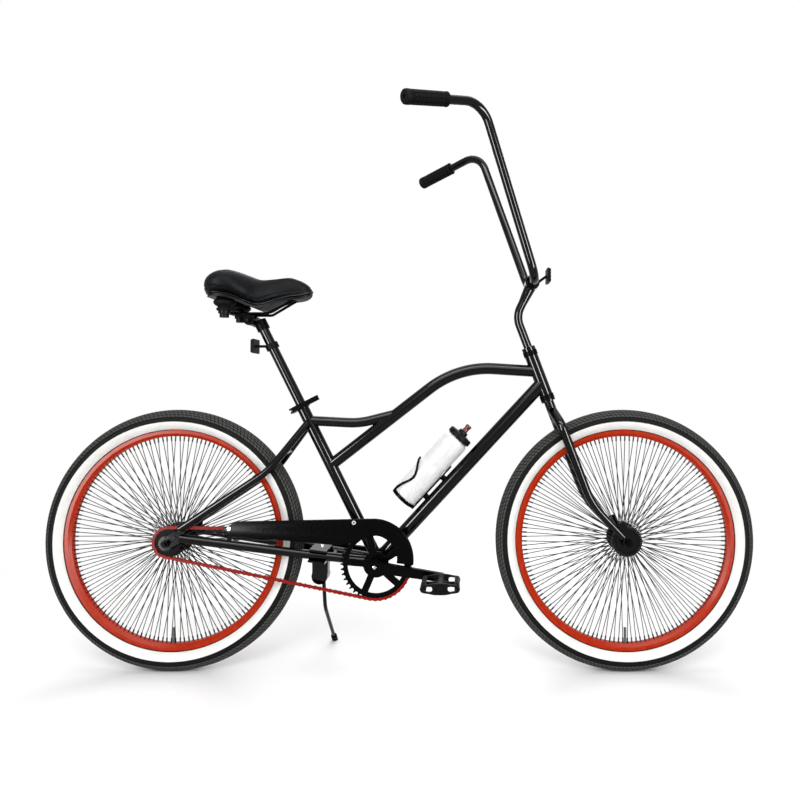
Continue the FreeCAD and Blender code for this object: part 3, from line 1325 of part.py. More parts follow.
# Seat
def seat_clamp_nodes():
    top = SEAT_TUBE_LENGTH
    low = on_seat(top - COLLAR_HEIGHT)
    high = on_seat(top)
    inner = SEAT_TUBE_RADIUS + FIT
    ring = tube(low, high, inner + COLLAR_THICKNESS, inner)
    rotation = FreeCAD.Rotation(SEAT_FORWARD, ALONG_Y, SEAT_UP, "XYZ")
    middle = on_seat(top - COLLAR_HEIGHT / 2)
    place = FreeCAD.Placement(middle, rotation)
    ear_half = EAR_GAP / 2 + EAR_THICKNESS
    ears = box_between(V(-SKEWER_BACK - 2 * SKEWER_RADIUS, -ear_half, -COLLAR_HEIGHT / 2),
                       V(-inner, ear_half, COLLAR_HEIGHT / 2))
    slot = box_between(V(-SKEWER_BACK * 2, -EAR_GAP / 2, -COLLAR_HEIGHT),
                       V(-inner / 2, EAR_GAP / 2, COLLAR_HEIGHT))
    hole = cylinder(V(-SKEWER_BACK, -ear_half * 2, 0), V(-SKEWER_BACK, ear_half * 2, 0), SKEWER_RADIUS + FIT)
    for piece in (ears, slot, hole):
        piece.Placement = place
    bore = cylinder(low, high, inner)
    collar = joined(ring, ears.cut(bore)).cut(slot).cut(hole)
    skewer = cylinder(V(-SKEWER_BACK, -SKEWER_HALF, 0), V(-SKEWER_BACK, SKEWER_HALF, 0), SKEWER_RADIUS)
    nut = cylinder(V(-SKEWER_BACK, ear_half + FIT, 0), V(-SKEWER_BACK, SKEWER_NUT_END, 0), LEVER_WIDTH / 2)
    skewer = joined(skewer, nut)
    lever, cross_pin = quick_release(inner)
    skewer = joined(skewer, cross_pin)
    for piece in (skewer, lever):
        piece.Placement = place
    return {"seat_clamp": group(collar, skewer), "seat_lever": lever}


def lever_pivot():
    """Cam centre of the quick release lever, measured from the middle of the collar."""
    return V(-SKEWER_BACK, -(EAR_GAP / 2 + EAR_THICKNESS + FIT + LEVER_WIDTH / 2), 0)


def quick_release(collar_inner):
    """The lever, forked round the skewer, and the cross pin that it turns on."""
    half = LEVER_WIDTH / 2
    pivot = lever_pivot()
    up = V(0, 0, half)
    handle_in = -(collar_inner + COLLAR_THICKNESS + CLEAR)
    handle_out = handle_in - LEVER_THICKNESS
    tip = LEVER_LENGTH - SKEWER_BACK
    corners = [V(pivot.x, pivot.y - half, -half), V(pivot.x + half, pivot.y, -half),
               V(pivot.x + 2 * half, handle_in, -half), V(tip, handle_in, -half),
               V(tip, handle_out, -half), V(pivot.x + 2 * half, handle_out, -half)]
    handle = Part.Face(Part.makePolygon(corners + corners[:1])).extrude(up * 2)
    lever = joined(cylinder(pivot - up, pivot + up, half), handle)
    gap = V(0, 0, SKEWER_RADIUS + CLEAR)
    lever = lever.cut(cylinder(pivot - gap, pivot + gap, half + SKEWER_RADIUS))
    lever = lever.cut(cylinder(pivot - up, pivot + up, SKEWER_RADIUS + FIT))
    return main_solid(lever), cylinder(pivot - up, pivot + up, SKEWER_RADIUS)


SADDLE_STATIONS = (
    # distance behind the clamp bolt, half width, top above the bolt, skirt above the bolt
    (103.0, 52.0, 95.0, 63.0),
    (88.5, 98.0, 114.5, 60.0),
    (64.0, 119.0, 126.5, 59.5),
    (29.5, 117.0, 122.0, 54.0),
    (-5.0, 96.0, 109.0, 39.0),
    (-29.5, 75.0, 101.5, 33.5),
    (-63.0, 53.0, 105.0, 47.0),
    (-100.0, 39.0, 110.0, 57.5),
    (-129.0, 32.0, 106.0, 61.0),
    (-145.5, 22.0, 97.0, 67.5),
    (-152.0, 12.0, 87.0, 75.0),
)


def saddle_section(station):
    """Closed section of the saddle at one station: flat floor, drawn-in sides and a crowned top."""
    behind, half, high, low = station
    centre = SADDLE_PIVOT + V(-behind, 0, 0)
    waist = half * SADDLE_FLOOR_SHARE
    shoulder = half * SADDLE_SHOULDER_SHARE
    middle = low + (high - low) * SADDLE_SIDE_SHARE
    edge = low + (high - low) * SADDLE_EDGE_SHARE

    def at(side, height):
        return centre + V(0, side, height)

    return Part.Wire([
        Part.LineSegment(at(-waist, low), at(waist, low)).toShape(),
        Part.Arc(at(waist, low), at(half, middle), at(shoulder, edge)).toShape(),
        Part.Arc(at(shoulder, edge), at(0, high), at(-shoulder, edge)).toShape(),
        Part.Arc(at(-shoulder, edge), at(-half, middle), at(-waist, low)).toShape(),
    ])


def pan_section(station):
    """Closed section of the base pan under the cushion."""
    behind, half, top, skirt = station
    centre = SADDLE_PIVOT + V(-behind, 0, 0)
    reach = half * PAN_SHARE
    high = skirt - PAN_GAP
    corners = [centre + V(0, -reach, high - SADDLE_PAN), centre + V(0, reach, high - SADDLE_PAN),
               centre + V(0, reach, high), centre + V(0, -reach, high)]
    return Part.makePolygon(corners + corners[:1])


def saddle_cushion():
    return Part.makeLoft([saddle_section(station) for station in SADDLE_STATIONS], True)


def saddle_pan():
    return Part.makeLoft([pan_section(station) for station in SADDLE_STATIONS], True)


def skirt_height(behind):
    """Height of the skirt above the clamp bolt, between the stations."""
    for first, second in zip(SADDLE_STATIONS, SADDLE_STATIONS[1:]):
        if second[0] <= behind <= first[0]:
            share = (first[0] - behind) / (first[0] - second[0])
            return first[3] + (second[3] - first[3]) * share
    raise ValueError("no saddle over this place")


def saddle_nodes():
    pan = saddle_pan()
    back = SADDLE_PIVOT + V(-RAIL_BACK_REACH, 0, RAIL_LIFT)
    knee = SADDLE_PIVOT + V(RAIL_KNEE_REACH, 0, RAIL_LIFT)
    front = SADDLE_PIVOT + V(RAIL_FRONT_REACH, 0, RAIL_LIFT + RAIL_FRONT_RISE)
    side = ALONG_Y * RAIL_HALF_SPACING
    front_side = ALONG_Y * RAIL_FRONT_HALF_SPACING
    rail = bent_rod([back + side, knee + side, front + front_side], [RAIL_BEND_RADIUS], RAIL_RADIUS)
    carrier_top = back.z + RAIL_RADIUS + CARRIER_THICKNESS
    half = SHOCK_HALF_SPACING + SHOCK_NUT_RADIUS
    carrier_low = back.z + RAIL_RADIUS / 2
    carrier = box_between(V(back.x - CARRIER_WIDTH / 2, -half, carrier_low),
                          V(back.x + CARRIER_WIDTH / 2, half, carrier_top))
    cross = joined(rail, mirrored(rail), carrier)
    shock_foot = V(back.x, SHOCK_HALF_SPACING, carrier_top + FIT)
    ceiling = SADDLE_PIVOT.z + skirt_height(RAIL_BACK_REACH) - SADDLE_PAN - PAN_GAP
    height = ceiling - shock_foot.z
    shock = shock_body(shock_foot, height + SADDLE_PAN).cut(pan)
    nut_top = V(back.x, SHOCK_HALF_SPACING, carrier_low - FIT)
    nut_flange = cylinder(nut_top - V(0, 0, SHOCK_NUT_FLANGE), nut_top, SHOCK_NUT_RADIUS)
    nut_end = cylinder(nut_top - V(0, 0, SHOCK_NUT_HEIGHT), nut_top, SHOCK_NUT_STEP_RADIUS)
    nut = joined(nut_flange, nut_end)
    rails = coped(cross, pan)
    return {
        "saddle_rails": rails,
        "saddle_base": group(pan, both_sides(nut)),
        "saddle_cushion": saddle_cushion(),
        "saddle_shocks": both_sides(main_solid(shock)),
    }


def shock_body(foot, height):
    """A rubber shock, swollen at its middle, standing on foot."""
    neck = SHOCK_FOOT_RADIUS
    top = SHOCK_TOP_RADIUS
    swell = Part.Arc(V(neck, 0, 0), V(SHOCK_RADIUS, 0, height * SHOCK_SWELL_SHARE), V(top, 0, height))
    edges = [
        swell.toShape(),
        Part.LineSegment(V(top, 0, height), V(0, 0, height)).toShape(),
        Part.LineSegment(V(0, 0, height), V(0, 0, 0)).toShape(),
        Part.LineSegment(V(0, 0, 0), V(neck, 0, 0)).toShape(),
    ]
    body = Part.Face(Part.Wire(edges)).revolve(V(0, 0, 0), V(0, 0, 1), 360)
    body.translate(foot)
    return body


def post_nodes():
    bottom = on_seat(SEAT_TUBE_LENGTH - POST_INSERT)
    top = on_seat(POST_TOP - CLAMP_BOLT_BACK / 2)
    post = tube(bottom, top, POST_RADIUS, POST_RADIUS - POST_WALL)
    sleeve_high = POST_TOP - CLAMP_BOLT_BACK / 2
    sleeve_low = on_seat(sleeve_high - SADDLE_SLEEVE_HEIGHT)
    sleeve = cylinder(sleeve_low, top, POST_RADIUS + FIT + SADDLE_SLEEVE_WALL)
    side = ALONG_Y * SADDLE_CLAMP_HALF
    barrel = cylinder(SADDLE_PIVOT - side, SADDLE_PIVOT + side, SADDLE_CLAMP_RADIUS)
    space = cylinder(bottom, top, POST_RADIUS + FIT)
    clamp = joined(sleeve, barrel).cut(space)
    ring_rise = POST_TOP - REAR_REFLECTOR_DROP
    ring = tube(on_seat(ring_rise - REAR_CLAMP_HEIGHT / 2), on_seat(ring_rise + REAR_CLAMP_HEIGHT / 2),
                POST_RADIUS + FIT + REAR_CLAMP_WALL, POST_RADIUS + FIT)
    spot = on_seat(ring_rise)
    centre = spot + V(-REAR_REFLECTOR_BACK, 0, 0)
    root = spot + V(-POST_RADIUS - REAR_CLAMP_WALL, 0, 0)
    housing, lens = reflector(centre, V(-1, 0, 0), root)
    holder = cylinder(on_seat(ring_rise - REAR_CLAMP_HEIGHT), on_seat(ring_rise + REAR_CLAMP_HEIGHT),
                      POST_RADIUS + FIT)
    return {
        "seat_post": post,
        "saddle_clamp": clamp,
        "rear_reflector": group(joined(housing.cut(holder), ring), lens),
    }


# Kickstand
def ground_space():
    """Everything under the ground that the leaned bicycle stands on, in upright coordinates."""
    size = WHEELBASE
    below = Part.makeBox(size, size, size, V(-size / 2, -size / 2, -size))
    below.Placement = stand().inverse()
    return below


def stand_plate(rise):
    """A plate across both chainstays, rise above or below their middle line, tilted with them."""
    middle = stay_middle()
    tilt = FreeCAD.Rotation(ALONG_Y, -math.degrees(math.atan(STAY_SLOPE)))
    half = STAND_PLATE_LENGTH / 2
    wide = STAND_PLATE_HALF
    low = rise if rise > 0 else rise - STAND_PLATE_THICKNESS
    sheet = box_between(V(-half, -wide, low), V(half, wide, low + STAND_PLATE_THICKNESS))
    sheet.Placement = FreeCAD.Placement(middle, tilt)
    return sheet


def stay_middle():
    return BRACKET + V(-STAND_BEHIND, 0, -STAND_BEHIND * STAY_SLOPE)


def stay_up():
    """Square to the chainstays, upwards."""
    return unit(V(-STAY_SLOPE, 0, 1))


def stand_leg_points():
    pivot = STAND_PIVOT + ALONG_Y * (STAND_HUB_LENGTH / 2)
    knee = V(pivot.x + STAND_FOOT_FORWARD / 2, STAND_KNEE_HALF, pivot.z - STAND_KNEE_DROP)
    foot_height = STAND_FOOT_HALF * math.tan(LEAN) + FOOT_SOLE
    foot = V(pivot.x + STAND_FOOT_FORWARD, STAND_FOOT_HALF, foot_height)
    return [pivot, knee, foot]


def kickstand_nodes():
    middle = stay_middle()
    grip = CHAINSTAY_RADIUS + FIT
    top_plate = stand_plate(grip)
    low_plate = stand_plate(-grip)
    half = STAND_BLOCK_HALF
    block_top = middle.z - grip - STAND_PLATE_THICKNESS / 2
    block = box_between(V(middle.x - half, -half, STAND_PIVOT.z),
                        V(middle.x + half, half, block_top))
    upright = [edge for edge in block.Edges if abs(edge.Vertexes[0].Z - edge.Vertexes[1].Z) > half]
    block = block.makeFillet(STAND_BLOCK_FILLET, upright)
    barrel_side = ALONG_Y * half
    barrel_middle = V(STAND_PIVOT.x, 0, STAND_PIVOT.z)
    barrel = cylinder(barrel_middle - barrel_side, barrel_middle + barrel_side, half)
    pin_end = STAND_PIVOT + ALONG_Y * (STAND_HUB_LENGTH + CLEAR)
    pin = cylinder(STAND_PIVOT - ALONG_Y * half, pin_end, STAND_PIN_RADIUS)
    bolt_hole = cylinder(middle - stay_up() * (2 * half), middle + stay_up() * half, BOLT_RADIUS + FIT)
    body = joined(low_plate, block, barrel, pin).cut(bolt_hole)
    points = stand_leg_points()
    leg = bent_rod(points, [STAND_BEND_RADIUS], STAND_LEG_RADIUS)
    hub = cylinder(STAND_PIVOT, STAND_PIVOT + ALONG_Y * STAND_HUB_LENGTH, STAND_HUB_RADIUS)
    socket = cylinder(STAND_PIVOT - ALONG_Y, pin_end, STAND_PIN_RADIUS + CLEAR)
    leg = joined(leg, hub).cut(socket)
    along = unit(points[2] - points[1])
    boot = cylinder(points[2] - along * FOOT_LENGTH, points[2] + along * (2 * FOOT_SOLE), FOOT_RADIUS)
    boot = boot.cut(cylinder(points[2] - along * FOOT_LENGTH, points[2], STAND_LEG_RADIUS + FIT))
    boot = main_solid(boot.cut(ground_space()))
    return {
        "kickstand_bracket": group(top_plate.cut(bolt_hole), body),
        "kickstand_leg": main_solid(leg),
        "kickstand_foot": boot,
    }


# Bottle
def down_spun(points):
    """Revolves an outline of (radius, length) pairs about the bottle's axis."""
    corners = [V(radius, 0, length) for radius, length in points]
    face = Part.Face(Part.makePolygon(corners + corners[:1]))
    solid = face.revolve(V(0, 0, 0), V(0, 0, 1), 360)
    turn = FreeCAD.Rotation(V(0, 0, 1), DOWN_ALONG)
    solid.Placement = FreeCAD.Placement(on_down(BOTTLE_START, BOTTLE_OFFSET), turn)
    return solid


def bottle_nodes():
    wall = BOTTLE_WALL
    top = BOTTLE_LENGTH + SHOULDER_LENGTH
    inside = BOTTLE_RADIUS - wall
    body = [(0, 0), (BOTTLE_RADIUS - BASE_CHAMFER, 0), (BOTTLE_RADIUS, BASE_CHAMFER),
            (BOTTLE_RADIUS, BOTTLE_LENGTH), (NECK_RADIUS, top), (NECK_RADIUS - wall, top),
            (inside, BOTTLE_LENGTH - wall), (inside, BASE_CHAMFER + wall), (inside - BASE_CHAMFER, wall),
            (0, wall)]
    step = top + CAP_RIM
    cap_top = top + CAP_HEIGHT
    cap = [(SPOUT_STEM_RADIUS, top + FIT), (CAP_RADIUS, top + FIT), (CAP_RADIUS, step),
           (CAP_STEP_RADIUS, step), (CAP_STEP_RADIUS - CAP_CHAMFER, cap_top), (SPOUT_STEM_RADIUS, cap_top)]
    spout_low = cap_top + FIT
    stem = SPOUT_STEM_RADIUS - FIT
    stem_low = cap_top - SPOUT_STEM_DEPTH
    spout = [(0, stem_low), (stem, stem_low), (stem, spout_low), (SPOUT_RADIUS, spout_low),
             (SPOUT_RADIUS, spout_low + SPOUT_HEIGHT / 2), (SPOUT_STEM_RADIUS, spout_low + SPOUT_HEIGHT),
             (0, spout_low + SPOUT_HEIGHT)]
    return {
        "bottle": down_spun(body),
        "bottle_cap": down_spun(cap),
        "bottle_spout": down_spun(spout),
    }


CAGE_ARM_STATIONS = (
    # length above the bottle's base, degrees round the bottle from its front, outward flare
    (10.0, 37.0, 0.0),
    (22.0, 43.5, 0.0),
    (34.0, 53.0, 0.0),
    (45.0, 61.0, 0.0),
    (56.0, 64.0, 0.0),
    (66.0, 60.0, 0.0),
    (76.0, 50.0, 0.0),
    (86.0, 38.5, 0.5),
    (97.0, 29.0, 1.0),
)


def cage_strip_top():
    return BOTTLE_OFFSET - BOTTLE_RADIUS - CLEAR


def cage_bolt_places():
    first = BOTTLE_START + CAGE_BOLT_FIRST
    return first, first + CAGE_BOLT_SPACING


def cage_bolts():
    """Bolts sunk in the cage's strip, so that the bottle slides over their heads."""
    seat = cage_strip_top() - BOLT_HEAD_HEIGHT - FIT
    length = seat - DOWN_TUBE_RADIUS - FIT
    return [bolt(on_down(along, seat), -DOWN_ACROSS, length) for along in cage_bolt_places()]


def cage_arm():
    """Left arm of the cage: a wire from the tray that holds the bottle's side and flares at its tip."""
    hold = BOTTLE_RADIUS + CAGE_WIRE_GAP + CAGE_WIRE_RADIUS

    def at(length, degrees, radius):
        angle = math.radians(degrees)
        across = BOTTLE_OFFSET + radius * math.cos(angle)
        return on_down(BOTTLE_START + length, across, radius * math.sin(angle))

    low = -CLEAR - CAGE_TRAY_DEPTH / 2
    first_angle = CAGE_ARM_STATIONS[0][1]
    points = [at(low, first_angle, CAGE_TRAY_RADIUS - 2 * CAGE_TRAY_WALL), at(low, first_angle, hold)]
    points.extend(at(length, angle, hold + CAGE_FLARE * flare) for length, angle, flare in CAGE_ARM_STATIONS)
    radii = [CAGE_WIRE_BEND] + [CAGE_WIRE_EASE] * (len(points) - 3)
    return joined(bent_rod(points, radii, CAGE_WIRE_RADIUS), Part.makeSphere(CAGE_WIRE_RADIUS, points[-1]))


def bottle_cage():
    """Strip on the down tube, a tray under the bottle's base, and two open arms round its front."""
    tray_top = BOTTLE_START - CLEAR
    tray_low = tray_top - CAGE_TRAY_DEPTH
    tray = cylinder(on_down(tray_low, BOTTLE_OFFSET), on_down(tray_top, BOTTLE_OFFSET), CAGE_TRAY_RADIUS)
    hollow = cylinder(on_down(tray_low, BOTTLE_OFFSET), on_down(tray_top - CAGE_TRAY_WALL, BOTTLE_OFFSET),
                      CAGE_TRAY_RADIUS - CAGE_TRAY_WALL)
    face = cage_strip_top() - CAGE_STRIP_THICKNESS
    strip = box_between(V(tray_low, -CAGE_STRIP_WIDTH / 2, face),
                        V(tray_low + CAGE_STRIP_LENGTH, CAGE_STRIP_WIDTH / 2, cage_strip_top()))
    web = box_between(V(tray_low, -CAGE_STRIP_WIDTH / 2, face),
                      V(tray_top, CAGE_STRIP_WIDTH / 2, BOTTLE_OFFSET - CAGE_TRAY_RADIUS + CAGE_TRAY_WALL))
    rotation = FreeCAD.Rotation(DOWN_ALONG, ALONG_Y, DOWN_ACROSS, "XYZ")
    for piece in (strip, web):
        piece.Placement = FreeCAD.Placement(BRACKET, rotation)
    bosses = [cylinder(on_down(along, 0), on_down(along, face), CAGE_BOSS_RADIUS)
              for along in cage_bolt_places()]
    cage = joined(strip, web, tray.cut(hollow), cage_arm(), mirrored(cage_arm()), *bosses)
    cage = cage.cut(cylinder(BRACKET, DOWN_TUBE_TOP, DOWN_TUBE_RADIUS + FIT))
    for along in cage_bolt_places():
        seat = on_down(along, cage_strip_top() - BOLT_HEAD_HEIGHT - 2 * FIT)
        cage = cage.cut(cylinder(on_down(along, 0), on_down(along, BOTTLE_OFFSET), BOLT_RADIUS + FIT))
        cage = cage.cut(cylinder(seat, on_down(along, BOTTLE_OFFSET), BOLT_HEAD_RADIUS + FIT))
    return main_solid(cage)


def frame_bolts():
    """Guard bolts, cage bolts and the kickstand's bolt."""
    bolts = cage_bolts()
    face = -(GUARD_OFFSET + GUARD_THICKNESS + FIT)
    for spot in guard_bolts_at():
        bolts.append(bolt(V(spot.x, face, spot.z), ALONG_Y, GUARD_THICKNESS))
    seat = stay_middle() + stay_up() * (CHAINSTAY_RADIUS + STAND_PLATE_THICKNESS + 2 * FIT)
    length = 2 * CHAINSTAY_RADIUS + 2 * STAND_PLATE_THICKNESS
    bolts.append(bolt(seat, -stay_up(), length))
    return group(*bolts)


def wheel_nodes(name, hub, radius, flange_offset):
    return {
        name + "_tyre": tyre(hub),
        name + "_whitewalls": whitewalls(hub),
        name + "_inner_tube": inner_tube(hub),
        name + "_rim": rim(hub),
        name + "_spokes": spokes(hub, flange_offset),
        name + "_hub": hub_shell(hub, radius, flange_offset),
        name + "_hub_bearings": hub_bearings(hub, flange_offset),
    }


def all_nodes():
    nodes = {}
    nodes.update(frame_nodes())
    nodes.update(bearing_nodes())
    nodes.update(rear_axle_nodes())
    nodes.update(crank_nodes())
    nodes["chain_guard"] = chain_guard()
    nodes["frame_bolts"] = frame_bolts()
    nodes["bottle_cage"] = bottle_cage()
    nodes.update(steering_nodes())
    nodes.update(bar_nodes())
    nodes.update(wheel_nodes("front", FRONT_HUB, FRONT_HUB_RADIUS, FRONT_FLANGE_OFFSET))
    nodes.update(wheel_nodes("rear", REAR_HUB, REAR_HUB_RADIUS, REAR_FLANGE_OFFSET))
    nodes.update(seat_clamp_nodes())
    nodes.update(post_nodes())
    nodes.update(saddle_nodes())
    nodes.update(kickstand_nodes())
    nodes.update(bottle_nodes())
    return nodes


def main():
    os.makedirs("parts", exist_ok=True)
    place = stand()
    for name, shape in all_nodes().items():
        shape.Placement = place.multiply(shape.Placement)
        shape.exportStep("parts/" + name + ".step")
        solids = len(shape.Solids)
        print(name, "solids", solids, "valid", shape.isValid(), "volume", round(shape.Volume))


if __name__ == "__main__":
    main()
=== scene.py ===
"""Dresses the beach cruiser's solids: tyres, saddle, grips, pedals, bottle, guard and finishes."""

import json
import math

import bmesh
import bpy
from bpy.props import FloatProperty, FloatVectorProperty, IntProperty, PointerProperty
from bpy.types import Operator, Panel, PropertyGroup
from mathutils import Matrix, Vector
from mathutils.bvhtree import BVHTree


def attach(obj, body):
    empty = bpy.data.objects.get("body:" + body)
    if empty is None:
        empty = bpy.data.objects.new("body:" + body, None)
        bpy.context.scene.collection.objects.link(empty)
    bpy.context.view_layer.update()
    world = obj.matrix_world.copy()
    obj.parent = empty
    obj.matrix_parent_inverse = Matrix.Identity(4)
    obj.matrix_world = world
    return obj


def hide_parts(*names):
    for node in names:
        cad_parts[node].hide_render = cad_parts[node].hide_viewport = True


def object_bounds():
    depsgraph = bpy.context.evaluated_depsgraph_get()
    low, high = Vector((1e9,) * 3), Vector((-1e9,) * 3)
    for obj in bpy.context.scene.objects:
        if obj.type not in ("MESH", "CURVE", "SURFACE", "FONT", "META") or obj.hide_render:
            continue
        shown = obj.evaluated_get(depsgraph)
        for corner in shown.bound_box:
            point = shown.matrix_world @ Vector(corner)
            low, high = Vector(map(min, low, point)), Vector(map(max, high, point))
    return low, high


bl_info = {
    "name": "Beach Cruiser Dresser",
    "version": (1, 0, 0),
    "blender": (4, 5, 0),
    "location": "View3D > Sidebar > Cruiser",
    "description": "Models the soft and moulded parts of a beach cruiser and paints its solids",
    "category": "Object",
}

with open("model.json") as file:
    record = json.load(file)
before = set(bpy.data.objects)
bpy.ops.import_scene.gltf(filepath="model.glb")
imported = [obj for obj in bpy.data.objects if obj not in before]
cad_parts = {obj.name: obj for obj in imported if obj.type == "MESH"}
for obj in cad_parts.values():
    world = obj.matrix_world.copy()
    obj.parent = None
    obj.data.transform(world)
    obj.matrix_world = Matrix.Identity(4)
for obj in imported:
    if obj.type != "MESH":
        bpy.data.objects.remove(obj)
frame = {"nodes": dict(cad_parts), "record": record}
CAD_BOX = [list(corner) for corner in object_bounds()]
RECORD = frame["record"]
JOINTS = {joint["name"]: joint for joint in RECORD["behaviour"]["joints"]}

MM = 0.001
FULL_TURN = 2 * math.pi
ACROSS = Vector((0, 1, 0))
UP = Vector((0, 0, 1))
FORWARD = Vector((1, 0, 0))
MERGE_DISTANCE = 0.01 * MM

# Half of a tyre's section, and how far each hub is from the middle of the wheelbase
TYRE_RADIUS = 27
HUB_REACH = 570 * MM


def joint_point(name):
    """Returns a joint's place in the record's frame."""
    return Vector(JOINTS[name]["pos_m"])


def hub_height():
    """Returns how high a hub stands over the ground when the bicycle is upright."""
    lean = Vector(JOINTS["rear_wheel_spin"]["axis"]).normalized().y
    section = TYRE_RADIUS * MM
    return (joint_point("rear_wheel_spin").z - section * (1 - lean)) / lean


def bike_matrix():
    """Returns the matrix from the upright bicycle to the leaning one on its kickstand."""
    side = Vector(JOINTS["rear_wheel_spin"]["axis"]).normalized()
    turn = Matrix((FORWARD, side, FORWARD.cross(side))).transposed()
    shift = joint_point("rear_wheel_spin") - turn @ Vector((-HUB_REACH, 0, hub_height()))
    return Matrix.Translation(shift) @ turn.to_4x4()


BIKE = bike_matrix()
UPRIGHT = BIKE.inverted()


def upright_point(name):
    """Returns a joint's place on the upright bicycle."""
    return UPRIGHT @ joint_point(name)


def upright_axis(name):
    """Returns a joint's axis on the upright bicycle."""
    return (UPRIGHT.to_3x3() @ Vector(JOINTS[name]["axis"])).normalized()


BRACKET = upright_point("crank_spin")
SADDLE_PIVOT = upright_point("saddle_tilt")
BAR_CENTRE = upright_point("handlebar_roll")
SEAT_UP = upright_axis("seat_height")
BOTTLE_UP = upright_axis("bottle_lift")

# Shape helpers


def placed(origin, axis, across):
    """Returns the matrix that puts local Z along axis and local X as near across as it goes."""
    upward = axis.normalized()
    sideways = upward.cross(across).normalized()
    turn = Matrix((sideways.cross(upward), sideways, upward)).transposed()
    return Matrix.Translation(origin) @ turn.to_4x4()


def in_metres(outline):
    """Returns an outline given in millimetres in metres."""
    return [(one * MM, other * MM) for one, other in outline]


def sector_of(point, count):
    """Returns which of count equal sectors about local Z a point lies in."""
    return int((math.atan2(point.y, point.x) % FULL_TURN) / FULL_TURN * count)


def grown_verts(grown):
    """Returns the points that an extrude call made."""
    return [item for item in grown["geom"] if isinstance(item, bmesh.types.BMVert)]


def spun(outline, steps, closed=False):
    """Spins an outline of (radius, height) pairs a full turn about local Z."""
    bm = bmesh.new()
    verts = [bm.verts.new((radius, 0, height)) for radius, height in outline]
    ends = verts[1:] + verts[:1] if closed else verts[1:]
    edges = [bm.edges.new(pair) for pair in zip(verts, ends)]
    bmesh.ops.spin(bm, geom=verts + edges, cent=(0, 0, 0), axis=(0, 0, 1), angle=FULL_TURN,
                   steps=steps, use_merge=True)
    bmesh.ops.remove_doubles(bm, verts=bm.verts, dist=MERGE_DISTANCE)
    bmesh.ops.recalc_face_normals(bm, faces=bm.faces)
    return bm


def arc(centre, radius, start, end, count):
    """Returns points on an arc between two angles in degrees, both ends included."""
    points = []
    for step in range(count + 1):
        angle = math.radians(start + (end - start) * step / count)
        points.append((centre[0] + radius * math.cos(angle), centre[1] + radius * math.sin(angle)))
    return points


def flat_plate(outlines, thickness):
    """Fills an outline round its openings in local XY and thickens it along local Z."""
    bm = bmesh.new()
    edges = []
    for points in outlines:
        verts = [bm.verts.new((x, y, 0)) for x, y in points]
        edges += [bm.edges.new(pair) for pair in zip(verts, verts[1:] + verts[:1])]
    bmesh.ops.triangle_fill(bm, edges=edges, use_beauty=True, normal=UP)
    grown = bmesh.ops.extrude_face_region(bm, geom=bm.faces[:], use_keep_orig=True)
    moved = grown_verts(grown)
    bmesh.ops.translate(bm, vec=(0, 0, thickness), verts=moved)
    bmesh.ops.recalc_face_normals(bm, faces=bm.faces)
    return bm


def round_edges(bm, edges, offset, segments=2):
    """Rounds the given edges of a piece."""
    bmesh.ops.bevel(bm, geom=edges, offset=offset, offset_type="OFFSET", segments=segments,
                    profile=0.5, affect="EDGES", clamp_overlap=True, material=-1)


def sharp_edges(bm, degrees):
    """Returns the edges whose faces meet at more than an angle."""
    limit = math.radians(degrees)
    return [edge for edge in bm.edges if len(edge.link_faces) == 2 and edge.calc_face_angle() > limit]


def rounded_block(low, high, offset):
    """Returns a box between two corners with rounded edges, all in millimetres."""
    bm = bmesh.new()
    bmesh.ops.create_cube(bm, size=1)
    low = Vector(low) * MM
    high = Vector(high) * MM
    bmesh.ops.scale(bm, vec=high - low, verts=bm.verts)
    bmesh.ops.translate(bm, vec=(low + high) / 2, verts=bm.verts)
    round_edges(bm, bm.edges[:], offset * MM)
    return bm


HEAD_ROUND = 0.5


def hexagon(radius, height):
    """Returns a hexagon head that stands on local XY, with rounded edges, given in millimetres."""
    bm = bmesh.new()
    bmesh.ops.create_cone(bm, cap_ends=True, segments=6, radius1=radius * MM, radius2=radius * MM,
                          depth=height * MM)
    bmesh.ops.translate(bm, vec=(0, 0, height / 2 * MM), verts=bm.verts)
    round_edges(bm, bm.edges[:], HEAD_ROUND * MM)
    return bm


def add_to(target, part, place=None):
    """Moves one bmesh into another, placed by a matrix."""
    if place is not None:
        part.transform(place)
        if place.determinant() < 0:
            bmesh.ops.reverse_faces(part, faces=part.faces)
    mesh = bpy.data.meshes.new("joined")
    part.to_mesh(mesh)
    part.free()
    target.from_mesh(mesh)
    bpy.data.meshes.remove(mesh)


def finish_piece(bm, name, body, slot, nodes=(), finish=None, smooth_angle=35):
    """Makes the object of a piece modelled on the upright bicycle, lets it ride and paints it.

    It has the finish of its slot, unless another one is named.
    """
    bm.transform(BIKE)
    mesh = bpy.data.meshes.new(name)
    bm.to_mesh(mesh)
    bm.free()
    mesh.shade_smooth()
    mesh.set_sharp_from_angle(angle=math.radians(smooth_angle))
    mesh.materials.append(FINISHES[finish or slot])
    obj = bpy.data.objects.new(name, mesh)
    bpy.context.collection.objects.link(obj)
    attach(obj, body)
    if nodes:
        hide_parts(*nodes)
    return obj


# Finishes


def linear(hex_colour):
    """Turns an sRGB hex colour into linear RGBA."""
    values = []
    for start in (1, 3, 5):
        share = int(hex_colour[start:start + 2], 16) / 255
        values.append(share / 12.92 if share <= 0.04045 else ((share + 0.055) / 1.055) ** 2.4)
    return (*values, 1)


def add_node(tree, kind, inputs=None, **settings):
    """Adds a node, sets its settings, and fills its inputs with values or links."""
    node = tree.nodes.new(kind)
    for key, value in settings.items():
        setattr(node, key, value)
    for key, value in (inputs or {}).items():
        if isinstance(value, bpy.types.NodeSocket):
            tree.links.new(value, node.inputs[key])
        else:
            node.inputs[key].default_value = value
    return node


